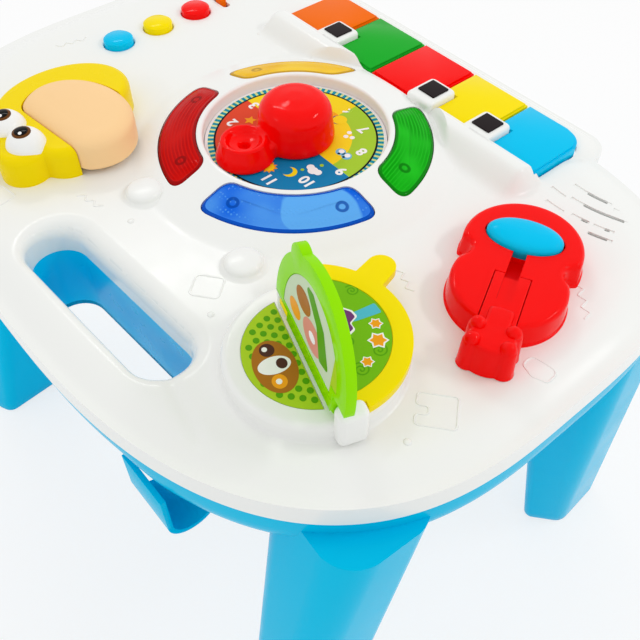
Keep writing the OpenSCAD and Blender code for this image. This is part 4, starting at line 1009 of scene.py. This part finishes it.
levels = offset(0, TOP_Z, (-1.4, -0.5), (-1.4, 0.9), (-1.15, 1.2), (-0.9, 1.3), (-0.3, 8.4))
levels += roll(-0.2, GUITAR_TOP - 2.6, 2.6, 2.6, 7) + [(6.0, GUITAR_TOP), (12.0, GUITAR_TOP)]
body_ring = level_ring(GUITAR, guitar_field, BODY_MID, 192)
guitar = piece("guitar_shell", stack(body_ring, levels), "table", "red_abs")
seat = ellipse(OVAL_B + 0.6, OVAL_A + 0.6, 96, OVAL_MID)
slot = fillet(rectangle(SLOT_ENDS[0], CHANNEL[0] + 2, *SLOT), 0.4, 3)
cut(guitar, [prism(at(GUITAR, seat), GUITAR_TOP - 3, GUITAR_TOP + 5),
             prism(at(GUITAR, rectangle(*CHANNEL)), TOP_Z + 0.2, GUITAR_TOP + 5)])
cut(guitar, [prism(at(GUITAR, slot), GUITAR_TOP - BODY_GROOVE, GUITAR_TOP + 5)])
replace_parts(guitar, "guitar_body")
levels = offset(0, GUITAR_TOP, (0.6, -4.5), (0.0, -1.0), (0.1, 0.9), (0.5, 1.5))
levels += [(9.5 * math.sin(s) ** 1.4 + 0.6, GUITAR_TOP + 1.6 + 2.7 * (1 - (1 - math.sin(s)) ** 2))
           for s in np.linspace(0.12, 1.45, 12)]
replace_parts(piece("guitar_oval_dome", stack(oval_ring, levels), "guitar_oval", "key_blue"), "guitar_button")
neck_box = rounded_box(*NECK, TOP_Z + 0.4, GUITAR_TOP + 0.25, 0.8, 0.7)
neck = piece("guitar_neck_slider", placed(GUITAR, neck_box), "guitar_slider", "red_abs")
groove = at(GUITAR, rectangle(NECK[0] - 1, SLOT_ENDS[1], *SLOT))
cut(neck, [prism(groove, GUITAR_TOP - NECK_GROOVE, GUITAR_TOP + 5)])
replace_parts(neck, "guitar_neck")
levels = offset(0, TOP_Z, (-0.9, 0.3), (-0.5, 3))
levels += offset(0, HEAD_TOP, (0, -2.0), (0.3, -0.9), (1.0, -0.2), (1.8, 0))
head = [stack(level_ring(GUITAR, head_field, (59.0, HEAD_MID), 240, 40.0), levels)]
peg = roll(PEG_DOME_R, HEAD_TOP - 0.6, -PEG_DOME_R, 3.0, 12, -0.1, 1.5)
head += [placed(GUITAR, turned(peg, (u, v + HEAD_MID), 32)) for u in PEG_U for v in (-PEG_V, PEG_V)]
piece("guitar_head_block", join(head), "guitar_slider", "red_abs", sharp=45)


# ---- Animal drum ----
# The head's plan: an oval (x, y, half axes) and three lobes (x, y, radius) that run into it
FACE_OVAL = (20.0, -2.0, 27.0, 36.0)
FACE_LOBES = ((-4.5, 33.5, 12.3), (14.0, 35.0, 13.0), (-10.0, 14.0, 14.0))
FACE_MID = (12.0, 10.0)
# The muzzle's half axes and how far back it is cut flat
MUZZLE, MUZZLE_TURN = (32.0, 25.0, 17.0), 7.0
EYES = ((-5.2, 30.2), (13.4, 31.2))
EYE_R, EYE_MID = 9.8, FACE_TOP - 2.2
EYE_LEAN, GLINT_LEAN = (-0.02, 0.06, 1.0), (-0.18, 0.18, 1.0)


def face_field(x, y):
    u, v, a, b = FACE_OVAL
    d = (np.hypot((x - u) / a, (y - v) / b) - 1) * (a + b) / 2
    for cx, cy, r in FACE_LOBES:
        d = smooth_min(d, np.hypot(x - cx, y - cy) - r, 2.0)
    return d


def drum_outline(inset):
    """The muzzle: an oval with a flattened back, turned a little."""
    a, b, back = (size - inset for size in MUZZLE)

    def field(x, y):
        return smooth_max((np.hypot(x / a, y / b) - 1) * min(a, b), y - back, 3.0)

    return at((0, 0, MUZZLE_TURN), level(field, (0.0, 0.0), 0.0, 96, 90.0))


def drum_ring(inset, z):
    return ring(at(DRUM, drum_outline(inset)), z)


def cap(middle, lean, r, size, lift):
    """A patch of a ball round a leaning axis, size degrees wide, lifted off it."""
    axis = Vector(lean).normalized()
    side = axis.cross(Vector((0, 1, 0))).normalized()
    up = side.cross(axis)
    around_axis = polar(1.0, around(48)) @ np.array([side, -up])
    rings = [np.array(middle) + (around_axis * math.sin(s) + np.array(axis) * math.cos(s)) * (r + lift)
             for s in np.radians(np.linspace(size, 0.5, 6))]
    return skin([rings[0] - np.array(axis) * (lift + 0.3)] + rings)


levels = offset(0, TOP_Z, (0, -0.5), (0, 9.5))
levels += roll(0.0, FACE_TOP - 4.6, 3.8, 4.6, 9, 0.15) + [(8.0, FACE_TOP)]
face = stack(level_ring(DRUM, face_field, FACE_MID, 192), levels)
face = piece("animal_head", face, "table", "yellow_abs", [plastic("head_yellow", tone(250, 222, 0), 0.26)])
cut(face, [prism(at(DRUM, drum_outline(-0.4)), TOP_Z - 2, FACE_TOP + 8)])
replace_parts(face, "animal_face")
levels = offset(0, TOP_Z, (0.6, 3.3), (0, 4), (0, 13.0))
levels += roll(0.0, TOP_Z + 13.5, 10.5, 6.5, 12, 0.1, power=0.8) + [(14.0, TOP_Z + 20.6)]
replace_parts(piece("muzzle_pad", stack(drum_ring, levels), "muzzle", "peach_abs"), "muzzle_drum")
eye_white = plastic("eye_white", tone(248, 248, 246), 0.12, 0.01)
iris, pupil = plastic("iris_brown", tone(104, 62, 26), 0.15), plastic("pupil_black", tone(12, 10, 12), 0.1)
ball = roll(EYE_R, EYE_MID, -EYE_R, EYE_R, 32, -0.95, 1.55)
eyes = placed(DRUM, join([turned(ball, p, 64) for p in EYES]))
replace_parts(piece("eyeballs", eyes, "table", "white_abs", [eye_white]), "eye_whites")
# Iris, pupil and glint of each eye: how it leans, how wide it is and how far it stands out
LAYERS = ((EYE_LEAN, 27, 0.12), (EYE_LEAN, 19, 0.22), (GLINT_LEAN, 5, 0.3))
patches = [cap((*p, EYE_MID), lean, EYE_R, size, lift) for p in EYES for lean, size, lift in LAYERS]
index = [k % len(LAYERS) for k, (_, faces) in enumerate(patches) for _ in faces]
pupils = placed(DRUM, join(patches))
pupils = piece("irises", pupils, "table", "black_abs", [iris, pupil, eye_white], index=index)
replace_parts(pupils, "eye_pupils")


# ---- Book print ----
PAGE_TOP, PAGE_LOW = 273.3, 269.7
PAGE_EDGE = -7.9
YELLOW_MID, YELLOW_R = (7.5, -3.0), 30.4
GREEN_MID, GREEN_R, GREEN_TILT = (-4.0, -10.0), 26.0, 97.0
# Where the green page's print ends beside the hinge post
POST_CLEAR = -24.6


def book_place(z):
    return lambda verts: at(BOOK, verts + (0, 0, z))


def half_disc(r, mid):
    """The part of a disc below the page's edge."""
    t = math.asin((PAGE_EDGE - mid[1]) / r)
    return polar(r, np.linspace(math.pi - t, 2 * math.pi + t, 60), mid)


def spiral(x, y, r):
    """A thin band in a spiral; its top is made of short faces, and it has no underside."""
    t = np.linspace(0.4, 4.2 * math.pi, 60)
    path = polar(r * t / 13, t, (x, y))
    side = np.column_stack([-np.gradient(path[:, 1]), np.gradient(path[:, 0])])
    side *= 0.28 / (np.linalg.norm(side, axis=1)[:, None] + 1e-9)
    band = np.concatenate([path - side, (path + side)[::-1]])
    verts, faces = flat(band, 0.08)
    n = len(band)
    top_faces = [[n + i, n + i + 1, 2 * n - 2 - i, 2 * n - 1 - i] for i in range(len(path) - 1)]
    return verts, [f for f in faces if len(f) == 4] + top_faces


# Rows of dots, then the blobs of a round face: ink, half axes, middle and height
DOT_STEP, ROW_STEP = 4.6, 3.8
label = []
for row in range(7):
    for step in range(-8, 9):
        p = (PLINTH_MID[0] + (step + 0.5 * (row % 2)) * DOT_STEP, POCKET_EDGE + 2.0 + row * ROW_STEP)
        if math.dist(p, PLINTH_MID) < POCKET_R - 1.8:
            label.append(("leaf", flat(ellipse(1.5, 1.35, 20, p), 0.05)))
BLOBS = (("tan", 13.0, 8.5, (3.0, 14.5), 0.09), ("white", 4.2, 6.6, (3.5, 14.6), 0.12),
         ("orange", 3.4, 3.0, (-4.4, 15.2), 0.12), ("brown", 3.2, 3.0, (11.4, 15.0), 0.15),
         ("white", 1.2, 1.1, (12.0, 15.8), 0.18), ("brown", 2.6, 2.2, (3.4, 11.6), 0.15),
         ("white", 1.3, 1.2, (-4.4, 15.4), 0.15))
label += [(ink, flat(ellipse(a, b, 48, p), z)) for ink, a, b, p, z in BLOBS]
prints("plinth_print", "table", label, book_place(PLINTH_TOP))

STRIP = [(8.5, -22), (9.0, -32.6), (14.5, -31.8), (13.0, -22), (15.5, -8.5), (10.0, -8.5)]
LEAF = [(5.0, -9.5), (2.0, -15.0), (4.5, -19.5), (8.0, -19.0), (10.5, -22.8), (14.0, -22.0), (17.5, -18.5),
        (16.5, -15.5), (19.5, -13.0), (20.5, -9.5)]
LEAF_MID = np.array([11.5, -15.0])
inner_leaf = (np.array(LEAF) - LEAF_MID) * 0.88 + LEAF_MID
SPIRALS = ((24.0, -16.0, 4.2), (-8.0, -24.0, 3.6), (0.0, -14.0, 3.0), (24.0, -26.0, 3.0),
           (-14.0, -14.0, 3.4))
yellow_print = [("grass", flat(half_disc(YELLOW_R, YELLOW_MID), 0.04)),
                ("aqua", flat(fillet(STRIP, 0.8), 0.08))]
yellow_print += [("leaf", spiral(*sizes)) for sizes in SPIRALS]
yellow_print += [("white", flat(fillet(LEAF, 1.4), 0.12)),
                 ("purple", flat(fillet(inner_leaf, 1.2), 0.16))]
for p, r in (((-3.5, -25.5), 3.0), ((4.5, -28.0), 2.1), ((-11.5, -17.5), 2.0)):
    yellow_print.append(("white", flat(star(r, r * 1.45, 6, p, 10), 0.12)))
    yellow_print.append(("orange", flat(star(r * 0.75, r * 1.15, 6, p, 10), 0.16)))
prints("yellow_page_print", "book_yellow", yellow_print, book_place(PAGE_TOP))


def stand(verts):
    """Points of a page that lies towards -y, on the standing page."""
    angle = math.radians(GREEN_TILT)
    y, z = -verts[:, 1], verts[:, 2] - HINGE_Z
    return np.column_stack([verts[:, 0], y * math.cos(angle) - z * math.sin(angle),
                            y * math.sin(angle) + z * math.cos(angle) + HINGE_Z])


back_plate = half_disc(GREEN_R, GREEN_MID)
back_plate[:, 0] = np.maximum(back_plate[:, 0], POST_CLEAR)
SWIRL = [(-14, -27), (-2, -34), (6, -33), (-8, -24), (-14, -12), (-22, -14)]
meal = [("pale", flat(back_plate, 0.04)), ("pink", flat(ellipse(9.0, 6.0, 40, (-6.0, -16.0)), 0.09)),
        ("tan", flat(ellipse(7.0, 4.5, 40, (5.0, -24.0)), 0.12)), ("leaf", flat(fillet(SWIRL, 1.5), 0.10)),
        ("orange", flat(ellipse(5.5, 3.6, 40, (11.0, -14.0)), 0.11)),
        ("white", flat(ellipse(3.0, 2.0, 30, (-6.0, -16.0)), 0.15))]
prints("green_page_print_back", "book_green", meal,
       lambda verts: at(BOOK, stand(verts * (1, 1, -1) + (0, 0, PAGE_LOW))))
prints("green_page_print_front", "book_green", [(ink, flipped(part)) for ink, part in meal],
       lambda verts: at(BOOK, stand(verts + (0, 0, PAGE_TOP))))


# ---- Blue lower shell ----
TUB_Z, TUB_WALL = SEAM_Z - 38, 2.5
TUB_ROUND, TUB_INSET = 32.0, 1.0
BAND_DEEP, BAND_SHALLOW = 9.0, 2.0
DOOR, CASE_W, CASE_D = (62.0, -34.0), 62.0, 50.6
TUBE_WALL, TAB_R, SCREW_R = 2.4, 5.5, 2.7
BOSSES = ((-98, -76), (-105, 8), (-62, 72), (30, 82), (50, 112), (100, 12), (102, -66))


def band(points):
    """How far below the seam the shell's round side starts."""
    deep = BAND_SHALLOW + (BAND_DEEP - BAND_SHALLOW) * ease(np.abs(points[:, 0]), 78, 108)
    return np.where(points[:, 1] < 0, BAND_DEEP, deep)


def tub_rings(inset, low):
    t = around(360)
    drop = SEAM_Z - band(rim_point(t))
    rings = [ring(rim_point(t, TUB_INSET + inset + across), drop - (drop - low) * up)
             for across, up in roll(0.0, 0.0, TUB_ROUND, 1.0, 14, QUARTER, 0.0)]
    return rings + [ring(rim_point(t, TUB_INSET + inset), SEAM_Z - 0.25)]


tub = skin(tub_rings(0, TUB_Z) + tub_rings(TUB_WALL, TUB_Z + TUB_WALL)[::-1])
tub = piece("lower_shell", tub, "table", "sky_abs")
door_x, door_y = CASE_W / 2 - 1, CASE_D / 2 - 1
door_hole = prism(at(DOOR, rectangle(-door_x, door_x, -door_y, door_y)), TUB_Z - 2, TUB_Z + 6)
tab_hole = turned([(TAB_R, TUB_Z - 1.9), (TAB_R, TUB_Z + 5.9)], (DOOR[0] + CASE_W / 2 + 7, DOOR[1]), 48)
screw_holes = [turned([(SCREW_R, TUB_Z - 2), (SCREW_R, TUB_Z + 2.45)], p, 32) for p in BOSSES]
cut(tub, [prism(hand_outline(), TUB_Z - 4, SEAM_Z + 4), door_hole] + screw_holes)
cut(tub, [tab_hole])
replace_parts(tub, "bottom_shell")
tube_low, tube_high = TUB_Z + 0.05, SEAM_Z + 0.25
tube = [ring(hand_outline(grow), z)
        for grow, z in ((TUBE_WALL, tube_low), (TUBE_WALL, tube_high), (0, tube_high), (0, tube_low))]
# The tube is the shell's blue plastic, made lighter: painted light inside the hand hole
piece("hand_hole_tube", skin(tube, closed=True), "table", "sky_abs",
      [plastic("tube_painted_light", tone(0, 206, 250), 0.3, 0.04)])


# ---- Legs ----
# Circles (x, y, radius) that a leg wraps at the floor and at its top
FOOT = np.array([(159, 96, 5), (166, 110, 11), (163, 138, 12), (158, 140, 8)], dtype=float)
HEAD = np.array([(142, 71, 14), (171, 70, 14), (167, 87, 17), (144, 86, 16)], dtype=float)
LEG_TOP = SEAM_Z - 8


def leg_ring(shrink, z):
    up = z / LEG_TOP
    circles = FOOT * (1 - up) + HEAD * up
    n = polar(1.0, around(96))
    reach = n @ circles[:, :2].T + circles[:, 2]
    best = circles[np.argmax(reach, axis=1)]
    return ring(best[:, :2] + n * (best[:, 2:] - shrink), z)


levels = [(2.4, 0.0), (1.3, 0.5), (0.5, 1.2), (0.0, 2.4)]
levels += [(0.0, z) for z in np.linspace(8, LEG_TOP - 0.5, 30)]
leg = stack(leg_ring, levels)
LEGS = (("leg_skin_a", "leg_front_left", -1, -1), ("leg_skin_b", "leg_front_right", 1, -1),
        ("leg_skin_c", "leg_back_left", -1, 1), ("leg_skin_d", "leg_back_right", 1, 1))
for name, node, sx, sy in LEGS:
    solid = (leg[0] * (sx, sy, 1), leg[1])
    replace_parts(piece(name, solid if sx == sy else flipped(solid), "table", "sky_abs"), node)


# ---- CAD nodes that stay in sight ----
for entry in frame["record"]["subparts"]:
    material = M.get(entry["material_slot"])
    if material is not None:
        for slot in frame["nodes"][entry["node"]].material_slots:
            slot.material = material
frame["nodes"]["dial_plate"].material_slots[0].material = INK["white"]
# How far the edges of each node are rounded
EDGES = {"page_yellow": 0.7, "page_green": 0.8, "switch_knob": 0.5, "under_hook": 0.7, "battery_door": 0.4,
         "sharp_inserts": 0.35, "hinge_rod": 0.2}
EDGES.update({"key_%d" % i: 0.9 for i in range(1, 6)})
EDGES.update({"mode_button_%d" % i: 0.5 for i in range(1, 4)})
for node, width in EDGES.items():
    soften(node, width)


# ---- Camera, light and floor ----
PHOTO_POSITION = Vector((-0.2608, 0.1820, 0.514))
PHOTO_DIRECTION = Vector((0.4924, -0.4132, -0.7660))
camera = new_object("camera", bpy.data.cameras.new("camera"))
camera.data.lens, camera.data.sensor_width = 45, 36
camera.data.clip_start = 0.01
camera.location = PHOTO_POSITION
camera.rotation_euler = PHOTO_DIRECTION.to_track_quat("-Z", "Y").to_euler()
bpy.context.scene.camera = camera


def lamp(name, place, size, power):
    """A soft lamp that faces the middle of the top."""
    data = bpy.data.lights.new(name, "AREA")
    data.shape, data.size, data.size_y = "RECTANGLE", size, size / 4
    data.energy = power
    obj = new_object(name, data)
    obj.location = place
    obj.rotation_euler = (TARGET - Vector(place)).to_track_quat("-Z", "Y").to_euler()


TARGET = Vector((0.0, 0.0, 0.25))
lamp("key_lamp", (0.75, -0.25, 1.15), 0.34, 1.1)
lamp("fill_lamp", (-0.7, -0.7, 1.1), 0.36, 2.4)
lamp("back_lamp", (0.3, 1.0, 0.9), 0.34, 0.5)

AMBIENT, BACKDROP, FLOOR_WHITE = 0.83, 1.0, 0.72
world = bpy.data.worlds.new("studio")
bpy.context.scene.world = world
world.use_nodes = True
world.node_tree.nodes.clear()
air = Tree(world.node_tree)
shown = air.add("ShaderNodeMixShader")
air.link(air.seen(), shown.inputs[0])
for socket, strength in ((1, AMBIENT), (2, BACKDROP)):
    light = air.add("ShaderNodeBackground")
    air.fill(light, Color=(1, 1, 1, 1), Strength=strength)
    air.link(light.outputs[0], shown.inputs[socket])
air.link(shown.outputs[0], air.add("ShaderNodeOutputWorld").inputs["Surface"])

# The floor is a plain sheet just below the feet, in metres
FLOOR_HALF, FLOOR_Z = 3, -0.0005
paper = Nodes("floor_paper")
paper.set(Base_Color=paper.mix(paper.noise(3, 2), tone(250, 250, 250), tone(253, 253, 253)), Roughness=0.9)
glow = paper.add("ShaderNodeMixShader")
paper.link(paper.math("MULTIPLY", paper.seen(), FLOOR_WHITE), glow.inputs[0])
paper.link(paper.shader.outputs[0], glow.inputs[1])
paper.link(paper.add("ShaderNodeEmission").outputs[0], glow.inputs[2])
paper.link(glow.outputs[0], paper.tree.nodes["Material Output"].inputs["Surface"])
floor_mesh = bpy.data.meshes.new("floor")
corners = rectangle(-FLOOR_HALF, FLOOR_HALF, -FLOOR_HALF, FLOOR_HALF)
floor_mesh.from_pydata([(x, y, FLOOR_Z) for x, y in corners], [], [(0, 1, 2, 3)])
floor_mesh.materials.append(paper.material)
new_object("floor", floor_mesh)

bpy.context.scene.view_settings.view_transform = "Standard"
